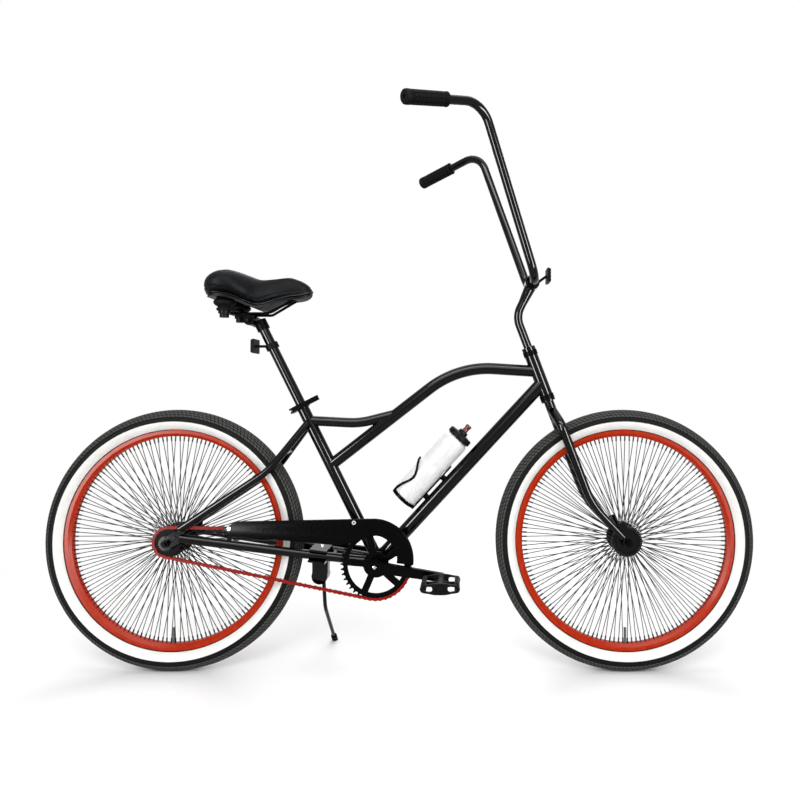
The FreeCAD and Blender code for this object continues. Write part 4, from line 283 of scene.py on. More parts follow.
def empty_tree(item):
    """Returns the cleared node tree of a material or a world."""
    item.use_nodes = True
    item.node_tree.nodes.clear()
    return item.node_tree


def mixed_colour(tree, share, one, other):
    """Mixes two colours by a share and returns the mixed one."""
    mix = add_node(tree, "ShaderNodeMix", {0: share, 6: one, 7: other}, data_type="RGBA")
    return mix.outputs[2]


def bumped(tree, height, relief, **more):
    """Returns the normal of a surface lifted by relief millimetres."""
    inputs = {"Height": height, "Strength": 1.0, "Distance": relief * MM, **more}
    return add_node(tree, "ShaderNodeBump", inputs).outputs["Normal"]


# The part of the noise that is spread over the colours and the roughness
NOISE_LOW = 0.3
NOISE_HIGH = 0.7
NOISE_DETAIL = 4.0
NOISE_ROUGHNESS = 0.6


def finish_of(name, dark, light, grain, gloss, relief, stretch=(1, 1, 1), cells=None, worn=None, **sockets):
    """Builds one finish from Object coordinates.

    Noise of grain millimetres moves the colour between two hex values and the roughness between
    the two of gloss, and lifts the surface by relief millimetres. Cells, given as (millimetres
    across, relief in millimetres), add the cells of a pressed grain or of moulded prisms. The
    colour given by name last paints the faces that the tyre's face attribute marks, the tops of
    the tread blocks: a grey that is partly scuffing and partly a painted highlight.
    """
    material = bpy.data.materials.new(name)
    tree = empty_tree(material)
    place = add_node(tree, "ShaderNodeTexCoord")
    turned = add_node(tree, "ShaderNodeMapping", {"Vector": place.outputs["Object"], "Scale": stretch})
    spot = turned.outputs["Vector"]
    noise = add_node(tree, "ShaderNodeTexNoise", {"Vector": spot, "Scale": 1 / (grain * MM),
                                                  "Detail": NOISE_DETAIL, "Roughness": NOISE_ROUGHNESS})
    height = noise.outputs["Fac"]
    window = {"Value": height, "From Min": NOISE_LOW, "From Max": NOISE_HIGH}
    spread = add_node(tree, "ShaderNodeMapRange", window)
    tint = mixed_colour(tree, spread.outputs["Result"], linear(dark), linear(light))
    shine = add_node(tree, "ShaderNodeMapRange", {**window, "To Min": gloss[0], "To Max": gloss[1]})
    normal = bumped(tree, height, relief)
    if cells:
        across, depth = cells
        pattern = add_node(tree, "ShaderNodeTexVoronoi", {"Vector": spot, "Scale": 1 / (across * MM)})
        normal = bumped(tree, pattern.outputs["Distance"], depth, Normal=normal)
    # Paints the marked tops of the tread blocks grey: partly scuffing, partly a painted highlight standing in
    # for light on them
    if worn:
        marked = add_node(tree, "ShaderNodeAttribute", attribute_name="scuff_and_highlight")
        tint = mixed_colour(tree, marked.outputs["Fac"], tint, linear(worn))
    values = {"Base Color": tint, "Roughness": shine.outputs["Result"], "Normal": normal, **sockets}
    shader = add_node(tree, "ShaderNodeBsdfPrincipled", values)
    add_node(tree, "ShaderNodeOutputMaterial", {"Surface": shader.outputs["BSDF"]})
    return material


# Slot, name, dark and light colour, grain in millimetres, range of roughness, relief in millimetres
# and the other settings of each finish
FINISH_ROWS = (
    # Stoved gloss enamel on steel tube: deep black, sharp highlights, a faint orange peel
    ("gloss_black", "Gloss black stoved enamel", "#020203", "#050506", 6, (0.07, 0.12), 0.004, {"IOR": 1.24}),
    # The same enamel on flat plate: rolled and flatted, so that it mirrors far less than the tube
    ("flat_black", "Flatted black stoved enamel", "#020203", "#060607", 6, (0.16, 0.24), 0.004,
     {"IOR": 1.11}),
    # Satin powder coat on small steel parts: charcoal black with a fine pebbled skin
    ("black_parts", "Satin black powder coat", "#060606", "#0d0d0e", 0.9, (0.24, 0.36), 0.02, {"IOR": 1.07}),
    # Ground bearing steel: cold grey, tight reflections, a thin film of grease
    ("bearing_steel", "Ground bearing steel", "#9a9a98", "#b8b8b6", 1.5, (0.14, 0.24), 0.004,
     {"Metallic": 1.0}),
    # Bright zinc plate on drawn wire and bolts: silver, drawn along its length
    ("bright_steel", "Bright zinc plated steel", "#b4b4b3", "#dcdcdb", 1.2, (0.16, 0.3), 0.006,
     {"stretch": (0.3, 1, 1), "Metallic": 1.0}),
    # Black oxide on spoke wire: dull black with a weak metallic edge
    ("black_spokes", "Black oxide spoke wire", "#070707", "#101010", 1.5, (0.3, 0.45), 0.004, {"IOR": 1.25}),
    # Red lacquer over steel chain plates: darker where oil and wear collect
    ("red_chain", "Red lacquered chain steel", "#740e0a", "#a81c12", 4, (0.28, 0.46), 0.02, {"IOR": 1.14}),
    # Stoved enamel on a rolled rim: warm orange red with a clear gloss
    ("red_rim", "Orange red rim enamel", "#a8280b", "#b82f10", 18, (0.2, 0.3), 0.01, {"IOR": 1.14}),
    # Vulcanised tread rubber: black and dry, with the tops of the blocks grey, partly scuffed and partly a
    # painted highlight
    ("black_tyre", "Vulcanised tread rubber", "#060606", "#0e0e0e", 3, (0.6, 0.75), 0.05,
     {"worn": "#4c4c4a", "IOR": 1.13}),
    # White sidewall rubber: slightly warm white with faint handling marks
    ("white_wall", "White sidewall rubber", "#eceae6", "#f3f2ef", 26, (0.5, 0.62), 0.02, {"IOR": 1.3}),
    # Butyl of the inner tube: soft black with talc left on it
    ("tube_rubber", "Butyl inner tube rubber", "#121212", "#2a2a29", 5, (0.55, 0.75), 0.03, {}),
    # Moulded grip rubber: dark grey, matt, with a fine moulded skin
    ("grip_rubber", "Moulded grip rubber", "#0b0b0a", "#161615", 1.4, (0.5, 0.64), 0.03, {"IOR": 1.1}),
    # Moulded nylon of pedals and caps: near black, pebbled by the mould
    ("pedal_plastic", "Moulded black nylon", "#070707", "#101010", 1.2, (0.36, 0.5), 0.03, {"IOR": 1.12}),
    # Embossed vinyl of the saddle: soft sheen, leather grain drawn a little coarse so that it shows
    ("saddle_cover", "Embossed saddle vinyl", "#07080b", "#0d0f13", 8, (0.46, 0.56), 0.05,
     {"cells": (1.6, 0.1), "IOR": 1.12}),
    # Blow moulded polyethylene: milky white, waxy, with soft scuffs
    ("bottle_white", "White blow moulded polyethylene", "#e6e6e5", "#ececeb", 14, (0.3, 0.4), 0.02,
     {"IOR": 1.4}),
    # Injection moulded polypropylene of the spout: deep red, half gloss
    ("spout_red", "Red moulded polypropylene", "#56100e", "#701512", 5, (0.3, 0.42), 0.02, {"IOR": 1.3}),
    # Housing of the reflectors: the same nylon as the pedals, a shade smoother
    ("reflector_plastic", "Smooth black nylon", "#050505", "#0b0b0b", 1.5, (0.4, 0.52), 0.02, {"IOR": 1.1}),
    # Clear acrylic with moulded prisms behind it: silvery cells under a polished face
    ("front_lens", "Clear acrylic prisms", "#8d9192", "#d0d3d3", 2.5, (0.1, 0.18), 0.01,
     {"cells": (3.2, 0.5), "IOR": 1.4}),
    # Red acrylic with moulded prisms behind it: dark and bright red cells under a polished face
    ("rear_lens", "Red acrylic prisms", "#7d0d0a", "#c4221a", 2.5, (0.06, 0.12), 0.01,
     {"cells": (3.2, 0.5), "IOR": 1.4}),
    # Vinyl piping rolled over a cord: a shade lighter and smoother than the cover
    ("piping", "Rolled vinyl piping", "#0c0d0f", "#15161a", 3, (0.4, 0.52), 0.03, {"IOR": 1.22}),
)


def make_finishes():
    """Builds every finish once and returns them by name, most of them slots of the record."""
    return {slot: finish_of(*values, **more) for slot, *values, more in FINISH_ROWS}


FINISHES = {}

# Sizes and colours a user would change


class CruiserSizes(PropertyGroup):
    """Sizes of the modelled pieces."""

    tread_rows: IntProperty(name="Tread rows", description="Rows of tread blocks round a tyre", default=190,
                            min=60)
    tread_columns: IntProperty(name="Tread columns", description="Tread blocks across a tyre", default=10,
                               min=4)
    tread_depth: FloatProperty(name="Tread depth", description="Height of the tread blocks", default=1.5 * MM,
                               unit="LENGTH")
    tread_sweep: FloatProperty(name="Tread sweep", description="Sweep of the tread at its shoulder",
                               default=math.radians(3.4), subtype="ANGLE")
    saddle_swell: FloatProperty(name="Saddle swell", description="Most that the padding swells outwards",
                                default=5 * MM, unit="LENGTH")
    piping_radius: FloatProperty(name="Piping radius", description="Radius of the piping round the saddle",
                                 default=2.2 * MM, unit="LENGTH")
    grip_rows: IntProperty(name="Grip blocks", description="Raised blocks round a grip", default=10, min=6)
    backdrop: FloatVectorProperty(name="Backdrop", description="Colour of the floor and backdrop",
                                  default=(1, 1, 1), subtype="COLOR")


# Tyres

TYRE_CENTRE = hub_height() / MM - TYRE_RADIUS
TYRE_WALL = 3
BEAD_HALF = 12.1
BEAD_DEPTH = 5.4
TREAD_EDGE = 70
BAND_INNER = 145
BAND_OUTER = 95
BAND_PROUD = 0.75
WHEEL_STEPS = 160
TREAD_GROOVE = 2.2
# Margins that tell the lining, the floor of the tread and the tops of its blocks apart
LINING_MARGIN = 0.5
FLOOR_SHARE = 0.6
SCUFF_AND_HIGHLIGHT_MARGIN = 0.4
LINING_EDGE = 150
LINING_STEP = 30
BAND_FOOT = 0.05
BAND_BEVEL = 1.2
BAND_STEPS = 10
# Angle from the crown, and rise over the carcass, of the ribbed shoulder and the sidewall
SHOULDER = ((TREAD_EDGE + 1.5, -0.5), (75, -0.1), (79, -0.1), (80, -0.5), (81, -0.1), (85, -0.1), (93, 0),
            (105, -0.2), (120, -0.2), (135, -0.2), (147, 0))


def section_point(radius, degrees):
    """Returns a point of the tyre's section at an angle from the crown, in metres."""
    angle = math.radians(degrees)
    return ((TYRE_CENTRE + radius * math.cos(angle)) * MM, radius * math.sin(angle) * MM)


def tyre_outline(columns, depth):
    """Returns the closed outline of the carcass, its tread floor, ribbed shoulders and beads."""
    half = [section_point(TYRE_RADIUS + rise, degrees) for degrees, rise in SHOULDER]
    bead_angle = 180 - math.degrees(math.asin(BEAD_HALF / TYRE_RADIUS))
    out, side = section_point(TYRE_RADIUS, bead_angle)
    foot = out - BEAD_DEPTH * MM
    half += [(out, side), (foot, side), (foot, side - TYRE_WALL * MM)]
    floor = []
    for column in range(columns + 1):
        degrees = TREAD_EDGE * (2 * column / columns - 1)
        floor.append(section_point(TYRE_RADIUS - depth, degrees))
    angles = range(LINING_EDGE, -LINING_EDGE - 1, -LINING_STEP)
    lining = [section_point(TYRE_RADIUS - TYRE_WALL, degrees) for degrees in angles]
    other = [(radius, -height) for radius, height in reversed(half)]
    return floor + half + lining + other


def section_of(point):
    """Returns a point's section radius and angle from the crown, in millimetres and degrees."""
    out = math.hypot(point.x, point.y) / MM - TYRE_CENTRE
    side = point.z / MM
    return math.hypot(out, side), math.degrees(math.atan2(side, out))


def tyre_mesh(sizes):
    """Returns a tyre with swept tread blocks about local Z."""
    depth = sizes.tread_depth / MM
    lining = TYRE_RADIUS - TYRE_WALL + LINING_MARGIN
    bm = spun(tyre_outline(sizes.tread_columns, depth), sizes.tread_rows, closed=True)
    for vert in bm.verts:
        radius, degrees = section_of(vert.co)
        if radius > lining:
            share = min(abs(degrees) / TREAD_EDGE, 1)
            vert.co.rotate(Matrix.Rotation(sizes.tread_sweep * share, 3, "Z"))
    blocks = []
    for face in bm.faces:
        radius, degrees = section_of(face.calc_center_median())
        if abs(degrees) < TREAD_EDGE and lining < radius < TYRE_RADIUS - FLOOR_SHARE * depth:
            blocks.append(face)
    if not blocks:
        raise RuntimeError("no tread blocks were found on the tyre")
    bmesh.ops.inset_individual(bm, faces=blocks, thickness=TREAD_GROOVE / 2 * MM, depth=sizes.tread_depth)
    # Marks the tops of the tread blocks for their grey: partly scuffing, partly a painted highlight
    scuff_and_highlight = bm.faces.layers.float.new("scuff_and_highlight")
    for face in bm.faces:
        radius, degrees = section_of(face.calc_center_median())
        face[scuff_and_highlight] = float(abs(degrees) < TREAD_EDGE and radius > TYRE_RADIUS - SCUFF_AND_HIGHLIGHT_MARGIN)
    return bm


def band_mesh():
    """Returns the two white bands of a tyre about local Z."""
    outline = [section_point(TYRE_RADIUS + BAND_FOOT, BAND_OUTER)]
    span = BAND_INNER - BAND_OUTER - 2 * BAND_BEVEL
    for step in range(BAND_STEPS + 1):
        degrees = BAND_OUTER + BAND_BEVEL + span * step / BAND_STEPS
        outline.append(section_point(TYRE_RADIUS + BAND_PROUD, degrees))
    outline.append(section_point(TYRE_RADIUS + BAND_FOOT, BAND_INNER))
    bm = spun(outline, WHEEL_STEPS, closed=True)
    other = spun([(radius, -height) for radius, height in outline], WHEEL_STEPS, closed=True)
    add_to(bm, other)
    return bm


# How far the outer face of each hub's flanges is from the middle, and the ring of heads on it
FLANGE_FACES = {"front": 35, "rear": 28}
HEAD_OUTLINE = ((0, 1.3), (0.9, 1), (1.5, 0.4), (1.5, -0.3), (0, -0.3))
HEAD_STEPS = 8
HEADS_RADIUS = 28.5
HEADS_PER_FLANGE = 36


def spoke_heads(end):
    """Returns the rings of spoke heads on the outer faces of one hub's flanges."""
    heads = bmesh.new()
    hub = upright_point(f"{end}_wheel_spin")
    for side in (-1, 1):
        for number in range(HEADS_PER_FLANGE):
            angle = FULL_TURN * number / HEADS_PER_FLANGE
            reach = Vector((math.cos(angle), 0, math.sin(angle))) * HEADS_RADIUS
            head = spun(in_metres(HEAD_OUTLINE), HEAD_STEPS)
            seat = hub + (reach + ACROSS * side * FLANGE_FACES[end]) * MM
            add_to(heads, head, placed(seat, ACROSS * side, UP))
    return heads


class CRUISER_OT_tyres(Operator):
    """Model both tyres with their tread and white bands, and the spoke heads"""

    bl_idname = "cruiser.tyres"
    bl_label = "Tyres"

    def execute(self, context):
        """Models the tyre, bands and spoke heads of each wheel."""
        sizes = context.scene.cruiser_sizes
        for end in ("front", "rear"):
            place = placed(upright_point(f"{end}_wheel_spin"), ACROSS, FORWARD)
            body = f"{end}_wheel"
            tyre = tyre_mesh(sizes)
            tyre.transform(place)
            finish_piece(tyre, f"{end}_tread_tyre", body, "black_tyre", [f"{end}_tyre"])
            bands = band_mesh()
            bands.transform(place)
            finish_piece(bands, f"{end}_white_bands", body, "white_wall", [f"{end}_whitewalls"])
            finish_piece(spoke_heads(end), f"{end}_spoke_heads", body, "black_spokes", finish="black_parts")
        return {"FINISHED"}


# Saddle

# Rows of distance behind the pivot, half width, top and skirt, from the tail to the nose
SADDLE_ROWS = (
    (110, 52, 94, 63), (94, 98, 113.5, 60), (66, 119, 125.5, 59.5), (29.5, 117, 121, 54), (-5, 96, 109, 39),
    (-29.5, 75, 101.5, 33.5), (-63, 53, 105, 47), (-100, 39, 110, 57.5), (-129, 32, 106, 61),
    (-147.5, 22, 97, 67.5), (-155, 12, 87, 75),
)
RING_POINTS = 40
ROW_STEPS = 4
SWELL_ROOM = 3
LEAST_HALF = 4
# Where a section is widest between skirt and top, how square its parts are, and how far it tucks in
WAIST_SHARE = 0.42
WIDTH_POWER = 0.72
CROWN_POWER = 0.8
SKIRT_POWER = 0.35
SKIRT_TUCK = 0.13
SOFT_ANGLE = 80
FIRST_SMOOTHING = 0.5
CUT_SMOOTHING = 0.6
LAST_SMOOTHING = 0.3
CLOTH_FRAMES = 20
CLOTH = {"quality": 6, "mass": 0.3, "tension_stiffness": 12, "compression_stiffness": 12,
         "bending_stiffness": 0.6, "use_pressure": True, "uniform_pressure_force": 4}


def smooth_row(position):
    """Returns a saddle row at a fractional row number, eased through the rows about it."""
    index = min(int(position), len(SADDLE_ROWS) - 2)
    share = position - index
    before = SADDLE_ROWS[max(index - 1, 0)]
    start = SADDLE_ROWS[index]
    end = SADDLE_ROWS[index + 1]
    after = SADDLE_ROWS[min(index + 2, len(SADDLE_ROWS) - 1)]
    values = []
    for p0, p1, p2, p3 in zip(before, start, end, after):
        slope1 = (p2 - p0) / 2
        slope2 = (p3 - p1) / 2
        cube = share ** 3
        square = share ** 2
        values.append((2 * cube - 3 * square + 1) * p1 + (cube - 2 * square + share) * slope1
                      + (3 * square - 2 * cube) * p2 + (cube - square) * slope2)
    return values


def saddle_ring(bm, row, inward):
    """Adds one section of the saddle as a shaped circle and returns its edges."""
    behind, half, top, skirt = row
    half = max(half - inward, LEAST_HALF)
    top = top - inward
    ring = bmesh.ops.create_circle(bm, cap_ends=False, radius=1, segments=RING_POINTS)["verts"]
    middle = skirt + WAIST_SHARE * (top - skirt)
    for vert in ring:
        angle = math.atan2(vert.co.y, vert.co.x)
        across = math.cos(angle)
        rise = math.sin(angle)
        width = half * math.copysign(abs(across) ** WIDTH_POWER, across)
        if rise >= 0:
            height = middle + (top - middle) * rise ** CROWN_POWER
        else:
            height = middle - (middle - skirt) * abs(rise) ** SKIRT_POWER
            width *= 1 - SKIRT_TUCK * abs(rise)
        vert.co = SADDLE_PIVOT + Vector((-behind, width, height)) * MM
    return [edge for edge in bm.edges if edge.verts[0] in ring and edge.verts[1] in ring]


def saddle_form(inward):
    """Returns the closed form of the cushion, drawn in a little to leave room to swell."""
    bm = bmesh.new()
    rings = []
    count = (len(SADDLE_ROWS) - 1) * ROW_STEPS
    for step in range(count + 1):
        rings.append(saddle_ring(bm, smooth_row(step / ROW_STEPS), inward))
    for one, other in zip(rings, rings[1:]):
        bmesh.ops.bridge_loops(bm, edges=one + other)
    bmesh.ops.contextual_create(bm, geom=rings[0])
    bmesh.ops.contextual_create(bm, geom=rings[-1])
    bmesh.ops.recalc_face_normals(bm, faces=bm.faces)
    return bm


def remeshed(bm, voxel):
    """Returns a mesh object of a bmesh remeshed into even voxels, for scratch use."""
    mesh = bpy.data.meshes.new("pad_scratch")
    bm.to_mesh(mesh)
    bm.free()
    obj = bpy.data.objects.new("pad_scratch", mesh)
    bpy.context.collection.objects.link(obj)
    remesh = obj.modifiers.new("even", "REMESH")
    remesh.mode = "VOXEL"
    remesh.voxel_size = voxel
    even = bpy.data.meshes.new_from_object(obj.evaluated_get(bpy.context.evaluated_depsgraph_get()))
    obj.modifiers.clear()
    obj.data = even
    bpy.data.meshes.remove(mesh)
    return obj


def swell(obj, most):
    """Swells a scratch pad with cloth pressure, and caps how far its points move."""
    rest = [vert.co.copy() for vert in obj.data.vertices]
    cloth = obj.modifiers.new("padding", "CLOTH")
    for key, value in CLOTH.items():
        setattr(cloth.settings, key, value)
    cloth.settings.effector_weights.gravity = 0
    cloth.point_cache.frame_start = 1
    cloth.point_cache.frame_end = CLOTH_FRAMES
    scene = bpy.context.scene
    for number in range(1, CLOTH_FRAMES + 1):
        scene.frame_set(number)
    swollen = obj.evaluated_get(bpy.context.evaluated_depsgraph_get()).to_mesh()
    moved = [vert.co.copy() for vert in swollen.vertices]
    obj.modifiers.clear()
    scene.frame_set(1)
    for vert, start, end in zip(obj.data.vertices, rest, moved):
        step = end - start
        if step.length > most:
            step *= most / step.length
        vert.co = start + step


def skirt_at(behind):
    """Returns the height of the saddle's skirt at a distance behind the pivot."""
    last = len(SADDLE_ROWS) - 1
    for index in range(last):
        start = SADDLE_ROWS[index]
        end = SADDLE_ROWS[index + 1]
        if end[0] <= behind <= start[0]:
            return smooth_row(index + (start[0] - behind) / (start[0] - end[0]))[3]
    return SADDLE_ROWS[0][3] if behind > 0 else SADDLE_ROWS[last][3]


SEAM_RISE = 15
SEAM_WIDTH = 2.2
SEAM_DEPTH = 1.6
CHANNEL_WIDTH = 13
CHANNEL_DEPTH = 2.4
CHANNEL_CENTRE = -5
CHANNEL_HALF = 90
CHANNEL_FADE = 40
RIM_SETBACK = 60
RAY_REACH = 400


def sew(obj):
    """Presses the side seam and the shallow centre channel into the swollen pad."""
    mesh = obj.data
    normals = [vert.normal.copy() for vert in mesh.vertices]
    for vert, normal in zip(mesh.vertices, normals):
        offset = (vert.co - SADDLE_PIVOT) / MM
        behind = -offset.x
        rise = offset.z - skirt_at(behind)
        if rise < 1:
            vert.co.z = SADDLE_PIVOT.z + (skirt_at(behind) + max(rise, 0)) * MM
            continue
        seam = math.exp(-((rise - SEAM_RISE) / SEAM_WIDTH) ** 2) * min(abs(normal.y) + abs(normal.x), 1)
        channel = math.exp(-(offset.y / CHANNEL_WIDTH) ** 2) * max(normal.z, 0)
        channel *= min(max((CHANNEL_HALF - abs(behind - CHANNEL_CENTRE)) / CHANNEL_FADE, 0), 1)
        vert.co -= normal * (SEAM_DEPTH * seam + CHANNEL_DEPTH * channel) * MM


def pad_rim(tree, rise, count):
    """Returns points just outside the pad all round, at a height above its skirt."""
    points = []
    centre_back = SADDLE_ROWS[0][0] - RIM_SETBACK
    centre_nose = SADDLE_ROWS[-1][0] + RIM_SETBACK
    for step in range(count):
        angle = FULL_TURN * step / count
        ahead = math.cos(angle)
        side = math.sin(angle)
        middle = (centre_back + centre_nose) / 2 - ahead * (centre_back - centre_nose) / 2
        height = skirt_at(middle - RIM_SETBACK * ahead) + rise
        start = SADDLE_PIVOT + Vector((-middle, 0, height)) * MM
        course = Vector((ahead, side, 0))
        hit = tree.ray_cast(start + course * RAY_REACH * MM, -course)
        if hit[0] is None:
            raise RuntimeError("the saddle's rim was not found")
        behind = -(hit[0].x - SADDLE_PIVOT.x) / MM
        again = Vector((start.x, start.y, SADDLE_PIVOT.z + (skirt_at(behind) + rise) * MM))
        hit = tree.ray_cast(again + course * RAY_REACH * MM, -course)
        points.append(hit[0])
    return points


def bead(points, radius, name):
    """Returns a bmesh of a closed smooth bead through points."""
    curve = bpy.data.curves.new(name, "CURVE")
    curve.dimensions = "3D"
    curve.bevel_depth = radius
    curve.bevel_resolution = 3
    curve.resolution_u = 4
    line = curve.splines.new("NURBS")
    line.points.add(len(points) - 1)
    for point, place in zip(line.points, points):
        point.co = (*place, 1)
    line.use_cyclic_u = True
    line.order_u = 4
    obj = bpy.data.objects.new(name, curve)
    bpy.context.collection.objects.link(obj)
    bpy.context.view_layer.update()
    mesh = bpy.data.meshes.new_from_object(obj.evaluated_get(bpy.context.evaluated_depsgraph_get()))
    bpy.data.objects.remove(obj)
    bm = bmesh.new()
    bm.from_mesh(mesh)
    bpy.data.meshes.remove(mesh)
    bmesh.ops.remove_doubles(bm, verts=bm.verts, dist=MERGE_DISTANCE)
    bmesh.ops.recalc_face_normals(bm, faces=bm.faces)
    return bm


PAD_VOXEL = 5 * MM
PIPING_POINTS = 120
PIPING_RISE = 3.5
SHOCK_X = -52
SHOCK_Y = 62
SHOCK_FOOT = 25.4
SHOCK_CEILING = 50.4
SHOCK_SLOPE = math.radians(9)
SHOCK_STEPS = 40
# A rubber shock's foot, swollen body and neck, which runs on past the saddle's base
SHOCK_OUTLINE = ((0, 0), (14.6, 0), (16.2, 1), (16.6, 2.9), (18.5, 4.9), (22.5, 7.4), (25.6, 10.3), (27, 14),
                 (26.4, 17.3), (24.2, 20.5), (21.4, 23), (19.4, 25.5), (19.4, 40), (0, 40))


def shock_meshes():
    """Returns both rubber shocks, cut off under the sloping base of the saddle."""
    shocks = bmesh.new()
    for side in (-1, 1):
        foot = SADDLE_PIVOT + Vector((SHOCK_X, side * SHOCK_Y, SHOCK_FOOT)) * MM
        add_to(shocks, spun(in_metres(SHOCK_OUTLINE), SHOCK_STEPS), Matrix.Translation(foot))
    ceiling = SADDLE_PIVOT + Vector((SHOCK_X, 0, SHOCK_CEILING)) * MM
    slope = Vector((math.sin(SHOCK_SLOPE), 0, math.cos(SHOCK_SLOPE)))
    everything = shocks.verts[:] + shocks.edges[:] + shocks.faces[:]
    bmesh.ops.bisect_plane(shocks, geom=everything, plane_co=ceiling, plane_no=slope, clear_outer=True)
    bmesh.ops.holes_fill(shocks, edges=shocks.edges[:], sides=0)
    bmesh.ops.recalc_face_normals(shocks, faces=shocks.faces)
    return shocks


DISC_OFFSET = 30.1
DISC_TEETH = 24
DISC_RADIUS = 13.4
DISC_OUTLINE = ((0, 0), (12.6, 0), (DISC_RADIUS, 0.8), (DISC_RADIUS, 3.2), (12.6, 4), (9.5, 4), (9, 4.6),
                (7, 4.6), (0, 4.6))
TOOTH_INSET = 0.3
TOOTH_HEIGHT = 0.8
CLAMP_NUT = (6.4, 5)
CLAMP_NUT_SEAT = 4.3


def disc_mesh():
    """Returns the toothed disc and hexagon nut at one end of the saddle's clamp, along local Z."""
    disc = spun(in_metres(DISC_OUTLINE), DISC_TEETH * 2)
    teeth = []
    for face in disc.faces:
        centre = face.calc_center_median()
        on_rim = math.hypot(centre.x, centre.y) > (DISC_RADIUS - TOOTH_INSET) * MM
        if on_rim and sector_of(centre, DISC_TEETH * 2) % 2 == 0:
            teeth.append(face)
    bmesh.ops.inset_individual(disc, faces=teeth, thickness=TOOTH_INSET * MM, depth=TOOTH_HEIGHT * MM)
    add_to(disc, hexagon(*CLAMP_NUT), Matrix.Translation((0, 0, CLAMP_NUT_SEAT * MM)))
    return disc


def smooth(bm, factor):
    """Smooths all points of a pad."""
    bmesh.ops.smooth_vert(bm, verts=bm.verts, factor=factor, use_axis_x=True, use_axis_y=True,
                          use_axis_z=True)


class CRUISER_OT_saddle(Operator):
    """Model the padded saddle, its piping, its rubber shocks and the discs of its clamp"""

    bl_idname = "cruiser.saddle"
    bl_label = "Saddle"

    def execute(self, context):
        """Models the pad with cloth pressure, then the sewn details, the shocks and the discs."""
        sizes = context.scene.cruiser_sizes
        scratch = remeshed(saddle_form(SWELL_ROOM), PAD_VOXEL)
        swell(scratch, sizes.saddle_swell)
        bm = bmesh.new()
        bm.from_mesh(scratch.data)
        smooth(bm, FIRST_SMOOTHING)
        bmesh.ops.subdivide_edges(bm, edges=bm.edges[:], cuts=1, use_grid_fill=True, smooth=CUT_SMOOTHING)
        bm.to_mesh(scratch.data)
        bm.free()
        sew(scratch)
        bm = bmesh.new()
        bm.from_mesh(scratch.data)
        smooth(bm, LAST_SMOOTHING)
        bmesh.ops.recalc_face_normals(bm, faces=bm.faces)
        bpy.data.objects.remove(scratch)
        tree = BVHTree.FromBMesh(bm)
        rim = pad_rim(tree, PIPING_RISE, PIPING_POINTS)
        pad = finish_piece(bm, "saddle_pad", "saddle", "saddle_cover", ["saddle_cushion"],
                           smooth_angle=SOFT_ANGLE)
        piping = bead(rim, sizes.piping_radius, "piping_line")
        finish_piece(piping, "saddle_piping", "saddle", "saddle_cover", finish="piping",
                     smooth_angle=SOFT_ANGLE)
        finish_piece(shock_meshes(), "rubber_shocks", "saddle", "grip_rubber", ["saddle_shocks"])
        discs = bmesh.new()
        for side in (-1, 1):
            seat = SADDLE_PIVOT + ACROSS * side * DISC_OFFSET * MM
            add_to(discs, disc_mesh(), placed(seat, ACROSS * side, UP))
        finish_piece(discs, "clamp_discs", "seat_post", "black_parts")
        return {"FINISHED"}


# Grips

BAR_END = (-302.5, 311, 360.4)
GRIP_COURSE = (-170.5, 133, -45.6)
GRIP_BACK = 114
GRIP_CORE = 15.4
GRIP_BORE = 11.35
BLOCK_START = 14
BLOCK_LONG = 10.6
BLOCK_ROWS = 8
BLOCK_FACES = 4
BLOCK_INSET = 0.7
BLOCK_HEIGHT = 1.4


def grip_outline():
    """Returns the outline of a grip from its low flange to its rounded end, in millimetres."""
    core = GRIP_CORE
    outline = [(GRIP_BORE, 0), (16.4, 0), (17.3, 0.8), (17.3, 3.4), (16.6, 4.2), (core, 4.6), (core, 5.4)]
    for start in (5.6, 9.6):
        outline += [(16.6, start), (16.6, start + 2.6), (core, start + 3.1), (core, start + 3.8)]
    outline += [(core, BLOCK_START + BLOCK_LONG * number) for number in range(BLOCK_ROWS + 1)]
    last = BLOCK_START + BLOCK_LONG * BLOCK_ROWS
    outline += [(16.8, last + 0.6), (16.8, last + 3), (core, last + 3.5), (core, last + 4.3), (17, last + 5)]
    outline += [(17.3, 106), (17.3, 112), (16.6, 115.6), (14.6, 117.6), (12, 118), (5, 118), (4.2, 117.4),
                (4.2, 113), (0, 113)]
    return outline


def grip_mesh(blocks):
    """Returns a grip about local Z with raised blocks round its body."""
    bm = spun(in_metres(grip_outline()), blocks * BLOCK_FACES)
    islands = {}
    for face in bm.faces:
        centre = face.calc_center_median()
        ring = (centre.z / MM - BLOCK_START) / BLOCK_LONG
        if not 0 < ring < BLOCK_ROWS or math.hypot(centre.x, centre.y) < (GRIP_CORE - 1) * MM:
            continue
        islands.setdefault((int(ring), sector_of(centre, blocks)), []).append(face)
    for faces in islands.values():
        bmesh.ops.inset_region(bm, faces=faces, thickness=BLOCK_INSET * MM, depth=BLOCK_HEIGHT * MM,
                               use_even_offset=True, use_boundary=True)
    bmesh.ops.holes_fill(bm, edges=[edge for edge in bm.edges if edge.is_boundary], sides=0)
    bmesh.ops.recalc_face_normals(bm, faces=bm.faces)
    return bm


class CRUISER_OT_grips(Operator):
    """Model the two moulded grips"""

    bl_idname = "cruiser.grips"
    bl_label = "Grips"

    def execute(self, context):
        """Models both grips as one piece that rides on the handlebar."""
        both = bmesh.new()
        for side in (-1, 1):
            course = Vector((GRIP_COURSE[0], side * GRIP_COURSE[1], GRIP_COURSE[2])).normalized()
            end = BAR_CENTRE + Vector((BAR_END[0], side * BAR_END[1], BAR_END[2])) * MM
            place = placed(end - course * GRIP_BACK * MM, course, UP)
            add_to(both, grip_mesh(context.scene.cruiser_sizes.grip_rows), place)
        finish_piece(both, "moulded_grips", "handlebar", "grip_rubber", ["grips"])
        return {"FINISHED"}


# Pedals

